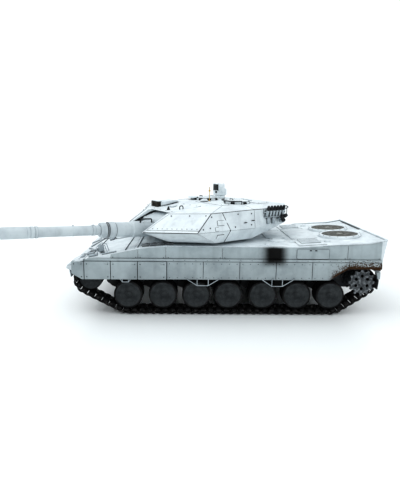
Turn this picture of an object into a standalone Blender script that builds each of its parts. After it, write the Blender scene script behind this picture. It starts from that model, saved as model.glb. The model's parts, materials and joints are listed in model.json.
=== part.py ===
"""A 1/16 radio-controlled battle tank, in metres: a hull on sprung road wheels and a traversing turret.

The hull is laid out with its front towards -X, its left side towards -Y and the ground at z = 0, and x = 0
in the middle of the wheelbase. At the end the whole vehicle is moved so that the origin is the bottom
centre of its box. The turret is built straight ahead under an empty, which then turns it to the left.
"""

import math

import bmesh
import bpy
from mathutils import Matrix, Vector

GAP = 0.0003  # running and resting clearance between neighbouring pieces

# Running gear
WHEEL_X = (-0.1538, -0.1015, -0.0508, -0.0023, 0.0501, 0.1024, 0.1536)
AXLE_Z = 0.0290
WHEEL_RADIUS = 0.0217
WHEEL_WIDTH = 0.0250
AXLE_RADIUS = 0.0030
ARM_REACH = 0.0260  # pivot to axle, along the hull
ARM_PIVOT_Z = 0.0410
ARM_PIN_RADIUS = 0.0025
TRACK_Y = 0.0870
PAD_WIDTH = 0.0340
TRACK_WIDTH = 0.0400
TRACK_THICKNESS = 0.0070
CONNECTOR_THICKNESS = 0.0032
IDLER_X, IDLER_Z, IDLER_RADIUS = -0.2100, 0.0540, 0.0178
SPROCKET_X, SPROCKET_Z = 0.1984, 0.0520
DRUM_RADIUS = 0.0166
TOOTH_TIP_RADIUS = 0.0204
TEETH = 12
SHAFT_RADIUS = 0.0040

# Hull
TUB_HALF_WIDTH = 0.0620
TUB_FLOOR_Z = 0.0330
TUB_TOP_Z = 0.0830
WALL = 0.0030
SPONSON_HALF_WIDTH = 0.1120
FENDER_Z = 0.0840
DECK_Z = 0.1065
REAR_CORNER_X, REAR_CORNER_Z = 0.2300, 0.1170
REAR_FENDER_X = 0.2245
NOSE_X, NOSE_Z = -0.2380, 0.0770
GLACIS_FOOT = (-0.2170, 0.0860)
GLACIS_HEAD = (-0.1350, 0.1030)
SKIRT_BOTTOM_Z = 0.0570
SKIRT_START_X, SKIRT_SPLIT_X, SKIRT_END_X = -0.2340, -0.0950, 0.2245
HEAVY_SKIRT_HALF_WIDTH = 0.1170
THIN_SKIRT_HALF_WIDTH = 0.1145
FAN_X, FAN_Y, FAN_RADIUS = 0.1830, 0.0345, 0.0317
DRIVER_X, DRIVER_Y = -0.1730, 0.0400
DRIVER_LENGTH, DRIVER_WIDTH = 0.0360, 0.0340

# Turret
RING_X = -0.0125
RING_OUTER_RADIUS, RING_INNER_RADIUS = 0.0615, 0.0550
TURRET_FLOOR_Z = 0.1110
ROOF_Z = 0.1620
TRAVERSE = math.radians(33.0)
TRUNNION_FORWARD, TRUNNION_Z = 0.0950, 0.1245
ELEVATION = math.radians(2.6)
MUZZLE_FORWARD = 0.4310
TUBE_RADIUS = 0.0071
SLEEVE_RADIUS = 0.0108
RECOIL_TRAVEL = 0.0060
SIGHT_TOP_Z = 0.1880
COMMANDER_PLACE = (0.0010, 0.0380)  # the hatches and the sight, from the middle of the turret ring
LOADER_PLACE = (0.0080, -0.0380)
HATCH_RADIUS = 0.0165
SIGHT_PLACE = (0.0400, 0.0520)
LAUNCHER_X = 0.0480
LAUNCHER_ROWS = ((5, 0.1510, 0.0), (4, 0.1420, 0.0040))  # tubes, height, shift


def clear_scene():
    for leftover in list(bpy.data.objects):
        bpy.data.objects.remove(leftover)


def paint(name, colour, roughness, metallic=0.0):
    """A Principled material of one colour."""
    material = bpy.data.materials.new(name)
    material.use_nodes = True
    shader = material.node_tree.nodes["Principled BSDF"]
    shader.inputs["Base Color"].default_value = (*colour, 1.0)
    shader.inputs["Roughness"].default_value = roughness
    shader.inputs["Metallic"].default_value = metallic
    return material


def empty(name, location, parent=None, rotation=(0.0, 0.0, 0.0)):
    pivot = bpy.data.objects.new(name, None)
    pivot.location = location
    pivot.rotation_euler = rotation
    pivot.parent = parent
    bpy.context.collection.objects.link(pivot)
    return pivot


def finish(name, shape, material, parent, location=(0.0, 0.0, 0.0), smooth=False):
    """Turns a bmesh into a named object with its material."""
    bmesh.ops.recalc_face_normals(shape, faces=shape.faces)
    mesh = bpy.data.meshes.new(name)
    shape.to_mesh(mesh)
    shape.free()
    piece = bpy.data.objects.new(name, mesh)
    piece.location = location
    piece.parent = parent
    if material:
        mesh.materials.append(material)
    bpy.context.collection.objects.link(piece)
    if smooth:
        mesh.shade_smooth()
        mesh.set_sharp_from_angle(angle=math.radians(35.0))
    return piece


def helper(name, shape, parent, location=(0.0, 0.0, 0.0)):
    """A shape that only cuts or joins, and isn't a piece of the tank."""
    piece = finish(name, shape, None, parent, location)
    piece.hide_render = True
    piece.display_type = "WIRE"
    return piece


def combine(piece, other, operation):
    modifier = piece.modifiers.new(other.name, "BOOLEAN")
    modifier.operation = operation
    modifier.solver = "EXACT"
    modifier.object = other
    return piece


def cut(piece, other):
    return combine(piece, other, "DIFFERENCE")


def join(piece, other):
    return combine(piece, other, "UNION")


def extruded(outline, low_y, high_y):
    """A closed (x, z) outline extruded from low_y to high_y."""
    shape = bmesh.new()
    near = [shape.verts.new((x, low_y, z)) for x, z in outline]
    far = [shape.verts.new((x, high_y, z)) for x, z in outline]
    shape.faces.new(near)
    shape.faces.new(far[::-1])
    for i in range(len(outline)):
        j = (i + 1) % len(outline)
        shape.faces.new((near[i], far[i], far[j], near[j]))
    return shape


def block(size, centre=(0.0, 0.0, 0.0), bevel=0.0):
    """A box of the given size, with bevelled edges where a bevel is given."""
    shape = bmesh.new()
    place = Matrix.Translation(centre) @ Matrix.Diagonal((*size, 1.0))
    bmesh.ops.create_cube(shape, size=1.0, matrix=place)
    if bevel:
        bmesh.ops.bevel(shape, geom=shape.edges[:], offset=bevel, segments=1, affect="EDGES")
    return shape


def turned(profile, steps, axis="Y"):
    """Turns a profile of (radius, height) points about an axis; it starts and ends on the axis or closes."""
    shape = bmesh.new()
    on_axis = profile[0][0] == 0.0
    rings = []
    for radius, height in profile:
        count = 1 if radius == 0.0 else steps
        ring = []
        for i in range(count):
            angle = 2.0 * math.pi * i / steps
            across, up = radius * math.cos(angle), radius * math.sin(angle)
            point = (across, height, up) if axis == "Y" else (across, up, height)
            if axis == "X":
                point = (height, across, up)
            ring.append(shape.verts.new(point))
        rings.append(ring)
    pairs = list(zip(rings, rings[1:]))
    if not on_axis:
        pairs.append((rings[-1], rings[0]))
    for first, second in pairs:
        for i in range(steps):
            j = (i + 1) % steps
            corners = [first[i % len(first)], first[j % len(first)]]
            corners += [second[j % len(second)], second[i % len(second)]]
            shape.faces.new(list(dict.fromkeys(corners)))
    return shape


def rod(radius, low, high, steps=12, axis="Y"):
    return turned([(0.0, low), (radius, low), (radius, high), (0.0, high)], steps, axis)


def hull_of(points):
    """The convex solid around a set of points."""
    shape = bmesh.new()
    for point in points:
        shape.verts.new(point)
    made = bmesh.ops.convex_hull(shape, input=shape.verts[:])
    spare = made["geom_interior"] + made["geom_unused"]
    inside = {item for item in spare if isinstance(item, bmesh.types.BMVert)}
    bmesh.ops.delete(shape, geom=list(inside), context="VERTS")
    return shape


def mirrored_points(points):
    return [(x, side * y, z) for x, y, z in points for side in (-1, 1)]


def belt_line(circles, grow, arc_step=math.radians(12.0)):
    """The line of a belt round circles (x, z, radius), listed anticlockwise, at a distance grow outside them."""
    normals = []
    for (x0, z0, r0), (x1, z1, r1) in zip(circles, circles[1:] + circles[:1]):
        along, far = Vector((x1 - x0, z1 - z0)), math.hypot(x1 - x0, z1 - z0)
        normals.append(math.atan2(along.y, along.x) - math.acos((r0 - r1) / far))
    line = []
    for i, (x, z, radius) in enumerate(circles):
        start, end = normals[i - 1], normals[i]
        while end < start - 1e-9:
            end += 2.0 * math.pi
        count = max(1, math.ceil((end - start) / arc_step))
        for k in range(count + 1):
            angle = start + (end - start) * k / count
            reach = radius + grow
            line.append((x + reach * math.cos(angle), z + reach * math.sin(angle)))
    return line


def track_belt():
    """A closed belt round the running gear, wide over the connectors and narrow where it meets the wheels."""
    drum = (SPROCKET_X, SPROCKET_Z, DRUM_RADIUS + GAP)
    idler = (IDLER_X, IDLER_Z, IDLER_RADIUS + GAP)
    first = (WHEEL_X[0], AXLE_Z, WHEEL_RADIUS + GAP)
    last = (WHEEL_X[-1], AXLE_Z, WHEEL_RADIUS + GAP)
    circles = [last, drum, idler, first]
    pad, edge = PAD_WIDTH / 2, TRACK_WIDTH / 2
    step = TRACK_THICKNESS - CONNECTOR_THICKNESS
    section = [(-pad, 0.0), (pad, 0.0), (pad, step), (edge, step)]
    section += [(edge, TRACK_THICKNESS), (-edge, TRACK_THICKNESS), (-edge, step), (-pad, step)]
    shape = bmesh.new()
    rows = []
    for across, out in section:
        rows.append([shape.verts.new((x, across, z)) for x, z in belt_line(circles, out)])
    for row, after in zip(rows, rows[1:] + rows[:1]):
        for i in range(len(row)):
            j = (i + 1) % len(row)
            shape.faces.new((row[i], row[j], after[j], after[i]))
    return shape


def road_wheel():
    """Two rubber-tyred discs on one hub, bored for the axle, with a dished outer face towards -Y."""
    half, inner_gap, bore, hub = WHEEL_WIDTH / 2, 0.0035, AXLE_RADIUS + GAP, 0.0065
    profile = [(bore, -half), (hub, -half), (WHEEL_RADIUS - 0.0030, -half + 0.0012), (WHEEL_RADIUS, -half)]
    profile += [(WHEEL_RADIUS, -inner_gap), (hub, -inner_gap), (hub, inner_gap), (WHEEL_RADIUS, inner_gap)]
    profile += [(WHEEL_RADIUS, half), (bore, half)]
    return turned(profile, 20)


def swing_arm(side):
    """A trailing arm: a round-ended plate with its pivot pin inwards and its axle outwards."""
    down = AXLE_Z - ARM_PIVOT_Z
    lean = math.atan2(down, ARM_REACH)
    outline = []
    for x, z, start in ((0.0, 0.0, lean + math.pi / 2), (ARM_REACH, down, lean - math.pi / 2)):
        for k in range(5):
            angle = start + math.pi * k / 4
            outline.append((x + 0.0052 * math.cos(angle), z + 0.0052 * math.sin(angle)))
    inner, outer = TUB_HALF_WIDTH + GAP, TRACK_Y - WHEEL_WIDTH / 2 - GAP
    shape = extruded(outline, inner, outer)
    pin = rod(ARM_PIN_RADIUS, TUB_HALF_WIDTH - WALL - 0.0020, inner + 0.0010)
    axle = rod(AXLE_RADIUS, outer - 0.0010, TRACK_Y + WHEEL_WIDTH / 2)
    for part in (shape, pin, axle):
        bmesh.ops.scale(part, vec=(1.0, side, 1.0), verts=part.verts)
    return shape, pin, axle, (ARM_REACH, 0.0, down)


def build_running_gear(vehicle, steel, rubber, grey):
    for side, word in ((-1, "left"), (1, "right")):
        finish(f"track_{word}", track_belt(), rubber, vehicle, (0.0, side * TRACK_Y, 0.0))
        for number, wheel_x in enumerate(WHEEL_X, start=1):
            pivot = (wheel_x - ARM_REACH, 0.0, ARM_PIVOT_Z)
            plate, pin, axle, offset = swing_arm(side)
            arm = finish(f"swing_arm_{word}_{number}", plate, steel, vehicle, pivot)
            join(arm, helper(f"pin_{word}_{number}", pin, vehicle, pivot))
            axle_place = (pivot[0] + offset[0], 0.0, pivot[2] + offset[2])
            join(arm, helper(f"axle_{word}_{number}", axle, vehicle, axle_place))
            wheel = road_wheel()
            bmesh.ops.scale(wheel, vec=(1.0, -side, 1.0), verts=wheel.verts)
            place = (wheel_x, side * TRACK_Y, AXLE_Z)
            finish(f"road_wheel_{word}_{number}", wheel, grey, vehicle, place, smooth=True)
        build_idler(vehicle, grey, side, word)
        build_sprocket(vehicle, grey, side, word)


def build_idler(vehicle, grey, side, word):
    """The front guide wheel, with the shaft that carries it in the hull wall."""
    half, gap, shaft_end = 0.0115, 0.0035, TRACK_Y - TUB_HALF_WIDTH + WALL + 0.0020
    profile = [(0.0, -half), (0.0060, -half), (0.0070, -half + 0.0025), (0.0150, -half + 0.0010)]
    profile += [(0.0160, -half), (IDLER_RADIUS, -half), (IDLER_RADIUS, -gap), (0.0080, -gap), (0.0080, gap)]
    profile += [(IDLER_RADIUS, gap), (IDLER_RADIUS, half), (0.0070, half), (SHAFT_RADIUS, half + 0.0010)]
    profile += [(SHAFT_RADIUS, shaft_end), (0.0, shaft_end)]
    wheel = turned(profile, 20)
    bmesh.ops.scale(wheel, vec=(1.0, -side, 1.0), verts=wheel.verts)
    finish(f"idler_{word}", wheel, grey, vehicle, (IDLER_X, side * TRACK_Y, IDLER_Z), smooth=True)


def tooth_ring(low_y, high_y):
    """A toothed ring outline, extruded; each tooth is a trapezium."""
    root, outline = DRUM_RADIUS, []
    for tooth in range(TEETH):
        tooth_shape = ((-0.30, root), (-0.12, TOOTH_TIP_RADIUS), (0.12, TOOTH_TIP_RADIUS), (0.30, root))
        for share, radius in tooth_shape:
            angle = 2.0 * math.pi * (tooth + share) / TEETH
            outline.append((radius * math.cos(angle), radius * math.sin(angle)))
    return extruded(outline, low_y, high_y)


def build_sprocket(vehicle, grey, side, word):
    """The rear drive wheel: a drum between two toothed rings, which run outside the track's pads."""
    inner, outer = PAD_WIDTH / 2 + GAP, TRACK_WIDTH / 2 - 0.0008
    shaft_end = TRACK_Y - TUB_HALF_WIDTH + WALL + 0.0020
    profile = [(0.0, -outer - 0.0010), (0.0060, -outer - 0.0010), (0.0065, -outer + 0.0015)]
    profile += [(0.0130, -outer + 0.0015), (0.0140, -outer + 0.0002), (DRUM_RADIUS - 0.0010, -outer + 0.0002)]
    profile += [(DRUM_RADIUS - 0.0010, outer - 0.0002), (0.0070, outer - 0.0002), (SHAFT_RADIUS, outer)]
    profile += [(SHAFT_RADIUS, shaft_end), (0.0, shaft_end)]
    place = (SPROCKET_X, side * TRACK_Y, SPROCKET_Z)
    drum = turned(profile, 24)
    bmesh.ops.scale(drum, vec=(1.0, -side, 1.0), verts=drum.verts)
    sprocket = finish(f"sprocket_{word}", drum, grey, vehicle, place, smooth=True)
    for row, (low, high) in enumerate(((-outer, -inner), (inner, outer))):
        join(sprocket, helper(f"teeth_{word}_{row}", tooth_ring(low, high), vehicle, place))


def build_lower_hull(vehicle, white):
    """The tub: an open-topped trough with bores for the arms, the idlers and the drive shafts."""
    outline = [(-0.1760, TUB_FLOOR_Z), (0.2000, TUB_FLOOR_Z), (0.2200, 0.0440), (0.2200, TUB_TOP_Z)]
    outline += [(-0.2200, TUB_TOP_Z), (-0.2315, 0.0690)]
    hull = finish("lower_hull", extruded(outline, -TUB_HALF_WIDTH, TUB_HALF_WIDTH), white, vehicle)
    floor = TUB_FLOOR_Z + WALL
    inside = [(-0.1745, floor), (0.1990, floor), (0.2170, 0.0455), (0.2170, TUB_TOP_Z + 0.01)]
    inside += [(-0.2160, TUB_TOP_Z + 0.01), (-0.2160, TUB_TOP_Z), (-0.2265, 0.0700)]
    wall_y = TUB_HALF_WIDTH - WALL
    cut(hull, helper("tub_room", extruded(inside, -wall_y, wall_y), vehicle))
    reach = TUB_HALF_WIDTH + 0.0100
    bores = [(x - ARM_REACH, ARM_PIVOT_Z, ARM_PIN_RADIUS) for x in WHEEL_X]
    bores += [(IDLER_X, IDLER_Z, SHAFT_RADIUS), (SPROCKET_X, SPROCKET_Z, SHAFT_RADIUS)]
    for number, (x, z, radius) in enumerate(bores):
        bore = helper(f"hull_bore_{number}", rod(radius + GAP, -reach, reach), vehicle, (x, 0.0, z))
        cut(hull, bore)
    door = block((0.0900, 0.0500, 0.0200), (0.0, 0.0, TUB_FLOOR_Z))
    cut(hull, helper("door_opening", door, vehicle))
    return hull


def build_upper_hull(vehicle, white):
    """The deck shell over the tracks, open underneath, with openings for the turret, fans and driver."""
    outline = [(NOSE_X, 0.0700), (NOSE_X, NOSE_Z), GLACIS_FOOT, GLACIS_HEAD]
    outline += [(-0.0960, DECK_Z), (0.1000, DECK_Z), (0.1450, 0.1095), (0.2035, 0.1120)]
    outline += [(REAR_CORNER_X, REAR_CORNER_Z), (REAR_FENDER_X, FENDER_Z)]
    outline += [(-0.2200, FENDER_Z), (-0.2320, 0.0700)]
    deck = finish("upper_hull", extruded(outline, -SPONSON_HALF_WIDTH, SPONSON_HALF_WIDTH), white, vehicle)
    room = [(-0.2120, 0.0840 - 0.0100), (-0.2120, 0.0842), (-0.1345, GLACIS_HEAD[1] - WALL)]
    room += [(-0.0955, DECK_Z - WALL), (0.1005, DECK_Z - WALL), (0.1450, 0.1065), (0.2040, 0.1090)]
    room += [(0.2245, 0.1115), (0.2205, FENDER_Z - 0.0100)]
    wall_y = SPONSON_HALF_WIDTH - WALL
    cut(deck, helper("deck_room", extruded(room, -wall_y, wall_y), vehicle))
    ring = rod(RING_OUTER_RADIUS + 0.0006, 0.0900, 0.1200, 40, "Z")
    cut(deck, helper("ring_opening", ring, vehicle, (RING_X, 0.0, 0.0)))
    for side in (-1, 1):
        fan = rod(FAN_RADIUS + GAP, 0.1000, 0.1250, 36, "Z")
        cut(deck, helper(f"fan_opening_{side}", fan, vehicle, (FAN_X, side * FAN_Y, 0.0)))
    return deck


def glacis_frame(vehicle):
    """An empty on the sloping front deck, with its x along the slope, for the driver's hatch."""
    slope = math.atan2(GLACIS_HEAD[1] - GLACIS_FOOT[1], GLACIS_HEAD[0] - GLACIS_FOOT[0])
    share = (DRIVER_X - GLACIS_FOOT[0]) / (GLACIS_HEAD[0] - GLACIS_FOOT[0])
    height = GLACIS_FOOT[1] + share * (GLACIS_HEAD[1] - GLACIS_FOOT[1])
    return empty("glacis", (DRIVER_X, DRIVER_Y, height), vehicle, (0.0, -slope, 0.0))


def lozenge(length, width, low, high, corner=0.0080):
    """A flat plate with chamfered corners, centred, between two heights."""
    x, y = length / 2, width / 2
    outline = [(-x, -y + corner), (-x + corner, -y), (x - corner, -y), (x, -y + corner)]
    outline += [(x, y - corner), (x - corner, y), (-x + corner, y), (-x, y - corner)]
    shape = extruded(outline, low, high)
    bmesh.ops.rotate(shape, cent=(0, 0, 0), matrix=Matrix.Rotation(math.pi / 2, 3, "X"), verts=shape.verts)
    bmesh.ops.scale(shape, vec=(1.0, 1.0, -1.0), verts=shape.verts)
    return shape


def build_driver_hatch(vehicle, deck, white):
    """The driver's lid, which tips up on a hinge along its outer side."""
    slope = glacis_frame(vehicle)
    opening = lozenge(DRIVER_LENGTH + 2 * GAP, DRIVER_WIDTH + 2 * GAP, -0.0100, 0.0100)
    cut(deck, helper("driver_opening", opening, slope))
    lid = lozenge(DRIVER_LENGTH, DRIVER_WIDTH, -0.0025, 0.0015)
    bmesh.ops.translate(lid, vec=(0.0, -DRIVER_WIDTH / 2, -0.0015), verts=lid.verts)
    hinge = empty("driver_hinge", (0.0, DRIVER_WIDTH / 2, 0.0015), slope)
    finish("driver_hatch", lid, white, hinge)


def build_skirts(vehicle, white):
    """Side skirts: thick modules in front, a thin plate behind that ends in an arch over the sprocket."""
    top = FENDER_Z - GAP
    foot = SKIRT_BOTTOM_Z
    heavy = [(SKIRT_START_X, foot), (SKIRT_SPLIT_X + 0.0010, foot), (SKIRT_SPLIT_X + 0.0010, top)]
    heavy += [(-0.2195, top), (-0.2318, 0.0690), (SKIRT_START_X, 0.0690)]
    thin = [(SKIRT_SPLIT_X, foot), (0.1475, foot), (0.1745, 0.0745), (SKIRT_END_X, 0.0740)]
    thin += [(SKIRT_END_X, top), (SKIRT_SPLIT_X, top)]
    for side, word in ((-1, "left"), (1, "right")):
        low, high = sorted((side * 0.1085, side * HEAVY_SKIRT_HALF_WIDTH))
        skirt = finish(f"skirt_{word}", extruded(heavy, low, high), white, vehicle)
        low, high = sorted((side * 0.1115, side * THIN_SKIRT_HALF_WIDTH))
        join(skirt, helper(f"thin_skirt_{word}", extruded(thin, low, high), vehicle))


def build_fan_grilles(vehicle, bronze):
    """Round cooling-air grilles, each a dished disc with a raised rim, in the rear deck."""
    tilt = math.atan2(0.1120 - 0.1095, 0.2035 - 0.1450)
    height = 0.1095 + (FAN_X - 0.1450) * math.tan(tilt)
    rim = FAN_RADIUS - 0.0010
    profile = [(0.0, -0.0030), (rim, -0.0030), (rim, 0.0036), (rim - 0.0020, 0.0036), (rim - 0.0024, 0.0022)]
    profile += [(0.0060, 0.0022), (0.0055, 0.0034), (0.0, 0.0034)]
    for side, word in ((-1, "left"), (1, "right")):
        grille = turned(profile, 30, "Z")
        bmesh.ops.rotate(grille, cent=(0, 0, 0), matrix=Matrix.Rotation(-tilt, 3, "Y"), verts=grille.verts)
        finish(f"fan_grille_{word}", grille, bronze, vehicle, (FAN_X, side * FAN_Y, height), smooth=True)


def build_inside(vehicle, black, green, steel, red):
    """What the hull holds: battery, electronics, drive, sound and smoke."""
    floor = TUB_FLOOR_Z + WALL + GAP
    battery = block((0.0860, 0.0440, 0.0220), (0.0, 0.0, floor + 0.0110), 0.0030)
    finish("battery_pack", battery, red, vehicle)
    door_size = (0.0900 - 2 * GAP, 0.0500 - 2 * GAP, WALL - GAP)
    door = block(door_size, (0.0, 0.0, TUB_FLOOR_Z + (WALL - GAP) / 2))
    finish("battery_door", door, black, vehicle)
    board_plate = block((0.0800, 0.0600, 0.0016), (-0.1000, 0.0, 0.0700))
    board = finish("control_board", board_plate, green, vehicle)
    for number, (x, y, size) in enumerate(((-0.115, -0.012, 0.014), (-0.085, 0.010, 0.018))):
        chip = block((size, size, 0.0040), (x, y, 0.0720))
        join(board, helper(f"chip_{number}", chip, vehicle))
    cone = [(0.0, 0.0), (0.0180, 0.0), (0.0240, 0.0120), (0.0240, 0.0150), (0.0, 0.0150)]
    finish("speaker", turned(cone, 28, "Z"), black, vehicle, (-0.1000, 0.0, floor), smooth=True)
    smoker = block((0.0300, 0.0260, 0.0320), (0.0800, -0.0300, floor + 0.0160), 0.0020)
    finish("smoke_generator", smoker, black, vehicle)
    for side, word in ((-1, "left"), (1, "right")):
        box = block((0.0520, 0.0200, 0.0340), (0.1720, side * 0.0420, floor + 0.0175), 0.0020)
        gearbox = finish(f"gearbox_{word}", box, steel, vehicle)
        motor = rod(0.0120, 0.0, 0.0400, 20, "X")
        join(gearbox, helper(f"motor_{word}", motor, vehicle, (0.1080, side * 0.0420, floor + 0.0165)))
    motor_case = block((0.0260, 0.0220, 0.0200), (0.0420, 0.0, 0.0750), 0.0020)
    traverse = finish("traverse_motor", motor_case, steel, vehicle)
    post = rod(0.0050, 0.0840, 0.0980, 16, "Z")
    join(traverse, helper("traverse_pinion", post, vehicle, (0.0360, 0.0, 0.0)))


def turret_points(inset=0.0):
    """Corners of the arrow-shaped turret in (forward, left, height) order, mirrored to both sides.

    With an inset, the corners are those of the room inside the shell.
    """
    corners = [
        (0.1600, 0.0330, 0.1265), (0.1090, 0.0980, 0.1300),  # leading edge
        (0.1185, 0.0375, 0.1515), (0.0809, 0.0906, 0.1553),  # its upper edge
        (0.1220, 0.0420, TURRET_FLOOR_Z), (0.0690, 0.0856, TURRET_FLOOR_Z),  # its lower edge
        (0.0000, 0.0930, 0.1290), (0.0000, 0.0890, 0.1570), (0.0000, 0.0850, 0.1120),
        (-0.0400, 0.0860, 0.1250), (-0.0720, 0.0820, 0.1320), (-0.0720, 0.0820, 0.1560),
        (0.0850, 0.0320, 0.1545), (0.0400, 0.0620, ROOF_Z), (-0.0600, 0.0650, ROOF_Z),
        (-0.1000, 0.0520, ROOF_Z - 0.0030), (-0.1000, 0.0520, 0.1360), (-0.0100, 0.0500, TURRET_FLOOR_Z),
    ]
    points = []
    for forward, left, height in corners:
        middle = (TURRET_FLOOR_Z + ROOF_Z) / 2
        points.append((
            -(forward - math.copysign(min(inset * 1.6, abs(forward)), forward)),
            left - inset,
            height - math.copysign(inset, height - middle),
        ))
    return mirrored_points(points)


def build_turret_shell(turret, white):
    """The hollow turret body with the slot for the gun between its two wedges."""
    shell = finish("turret_shell", hull_of(turret_points()), white, turret)
    hatches = (COMMANDER_PLACE, LOADER_PLACE)
    for number, (x, y) in enumerate(hatches):
        collar = rod(HATCH_RADIUS + 0.0035, ROOF_Z - 0.0110, ROOF_Z + 0.0030, 28, "Z")
        join(shell, helper(f"hatch_collar_{number}", collar, turret, (x, y, 0.0)))
    cut(shell, helper("turret_room", hull_of(turret_points(WALL)), turret))
    well = rod(RING_INNER_RADIUS, 0.1000, 0.1300, 40, "Z")
    cut(shell, helper("turret_well", well, turret))
    slot = block((0.1100, 0.0600, 0.1000), (-0.0650 - 0.0550, 0.0, 0.1500))
    cut(shell, helper("gun_slot", slot, turret))
    for number, (x, y) in enumerate(hatches):
        opening = rod(HATCH_RADIUS + GAP, ROOF_Z - 0.0200, ROOF_Z + 0.0100, 28, "Z")
        cut(shell, helper(f"hatch_opening_{number}", opening, turret, (x, y, 0.0)))
    ring_top = TURRET_FLOOR_Z - GAP
    ring = [(RING_INNER_RADIUS, 0.0990), (RING_OUTER_RADIUS, 0.0990), (RING_OUTER_RADIUS, ring_top)]
    ring += [(RING_INNER_RADIUS, ring_top)]
    return shell, turned(ring, 40, "Z")


def build_roof(turret, white, dark):
    """Hatch lids on rear hinges, the turning sight, the gunner's sight and the smoke launchers."""
    radius = HATCH_RADIUS
    for name, (x, y) in (("commander", COMMANDER_PLACE), ("loader", LOADER_PLACE)):
        height = ROOF_Z + 0.0030 + GAP
        hinge = empty(f"{name}_hinge", (x + radius + 0.0010, y, height), turret)
        reach = -(radius + 0.0010)
        plug, rim = radius - 0.0010, radius + 0.0010
        profile = [(0.0, -0.0040), (plug, -0.0040), (plug, 0.0), (rim, 0.0), (rim, 0.0015)]
        profile += [(radius - 0.0020, 0.0025), (0.0, 0.0030)]
        lid = turned(profile, 24, "Z")
        bmesh.ops.translate(lid, vec=(reach, 0.0, 0.0), verts=lid.verts)
        finish(f"{name}_hatch", lid, white, hinge, smooth=True)
    x, y = SIGHT_PLACE
    base = ROOF_Z + GAP
    stem = [(0.0, base), (0.0085, base), (0.0085, base + 0.0060), (0.0, base + 0.0060)]
    sight = finish("panoramic_sight", turned(stem, 20, "Z"), white, turret, (x, y, 0.0), smooth=True)
    head_height = SIGHT_TOP_Z - base - 0.0050
    head = block((0.0170, 0.0190, head_height), (0.0, 0.0, SIGHT_TOP_Z - head_height / 2), 0.0015)
    join(sight, helper("sight_head", head, turret, (x, y, 0.0)))
    gunner = [(-0.0980, 0.1545), (-0.0980, ROOF_Z + 0.0005), (-0.0640, ROOF_Z + 0.0020)]
    gunner += [(-0.0550, 0.1615), (-0.0640, 0.1605)]
    finish("gunner_sight", extruded(gunner, 0.0340, 0.0560), white, turret)
    for side, word in ((-1, "left"), (1, "right")):
        build_launcher(turret, dark, side, word)


def build_launcher(turret, dark, side, word):
    """A bank of smoke tubes in two rows on a bracket at the rear of the turret side."""
    plate = block((0.0380, 0.0020, 0.0200), (LAUNCHER_X, side * 0.0905, 0.1460))
    bank = finish(f"smoke_launcher_{word}", plate, dark, turret)
    foot = block((0.0120, 0.0040, 0.0100), (LAUNCHER_X + 0.0080, side * 0.0880, 0.1460))
    join(bank, helper(f"launcher_foot_{word}", foot, turret))
    for row, (count, height, shift) in enumerate(LAUNCHER_ROWS):
        for k in range(count):
            tube = rod(0.0033, 0.0, 0.0100, 8, "Y")
            bmesh.ops.scale(tube, vec=(1.0, side, 1.0), verts=tube.verts)
            x = LAUNCHER_X + shift + (k - (count - 1) / 2) * 0.0076
            place = (x, side * 0.0900, height)
            join(bank, helper(f"tube_{word}_{row}_{k}", tube, turret, place))


def build_gun(turret, white, steel):
    """Mantlet with its sleeve, the recoil unit behind it and the barrel that slides through both."""
    gun = empty("gun_pivot", (-TRUNNION_FORWARD, 0.0, TRUNNION_Z), turret, (0.0, ELEVATION, 0.0))
    half = 0.0294
    drum = finish("mantlet", rod(0.0165, -half, half, 24), white, gun)
    nose = [(0.0, -0.0110), (0.0, 0.0140), (-0.0260, 0.0140), (-0.0330, 0.0080)]
    nose += [(-0.0330, -0.0090), (-0.0300, -0.0110)]
    join(drum, helper("mantlet_nose", extruded(nose, -half, half), gun))
    cuff, collar = SLEEVE_RADIUS + 0.0012, SLEEVE_RADIUS + 0.0010
    steps = [(0.0, -0.0300), (cuff, -0.0300), (cuff, -0.0680), (SLEEVE_RADIUS, -0.0690)]
    steps += [(SLEEVE_RADIUS, -0.0950), (collar, -0.0960), (collar, -0.1050)]
    steps += [(0.0088, -0.1070), (0.0088, -0.1180), (0.0, -0.1180)]
    join(drum, helper("mantlet_sleeve", turned(steps, 20, "X"), gun))
    cut(drum, helper("mantlet_bore", rod(TUBE_RADIUS + GAP, -0.1300, 0.0300, 20, "X"), gun))
    unit_start, unit_end, unit_bore = 0.0170, 0.0285, TUBE_RADIUS + GAP
    unit = [(unit_bore, unit_start), (0.0100, unit_start), (0.0100, unit_end), (unit_bore, unit_end)]
    finish("recoil_unit", turned(unit, 20, "X"), steel, gun, smooth=True)
    muzzle = TRUNNION_FORWARD - MUZZLE_FORWARD
    bore = 0.0042
    breech = 0.0260 - RECOIL_TRAVEL
    profile = [(0.0, breech), (TUBE_RADIUS, breech), (TUBE_RADIUS, -0.2000), (0.0080, -0.2020)]
    profile += [(0.0080, -0.2480), (TUBE_RADIUS, -0.2500), (TUBE_RADIUS - 0.0008, muzzle + 0.0120)]
    profile += [(0.0070, muzzle + 0.0110)]
    profile += [(0.0070, muzzle), (bore, muzzle), (bore, muzzle + 0.0400), (0.0, muzzle + 0.0400)]
    finish("barrel", turned(profile, 20, "X"), white, gun, smooth=True)


def stand_on_origin(vehicle):
    """Moves the vehicle so that the origin is the bottom centre of its box."""
    bpy.context.view_layer.update()
    graph = bpy.context.evaluated_depsgraph_get()
    corners = []
    for piece in bpy.context.view_layer.objects:
        if piece.type != "MESH" or piece.hide_render:
            continue
        solid = piece.evaluated_get(graph)
        mesh = solid.to_mesh()
        corners += [solid.matrix_world @ vertex.co for vertex in mesh.vertices]
        solid.to_mesh_clear()
    low = Vector(min(corner[i] for corner in corners) for i in range(3))
    high = Vector(max(corner[i] for corner in corners) for i in range(3))
    vehicle.location -= Vector(((low.x + high.x) / 2, (low.y + high.y) / 2, low.z))


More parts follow.
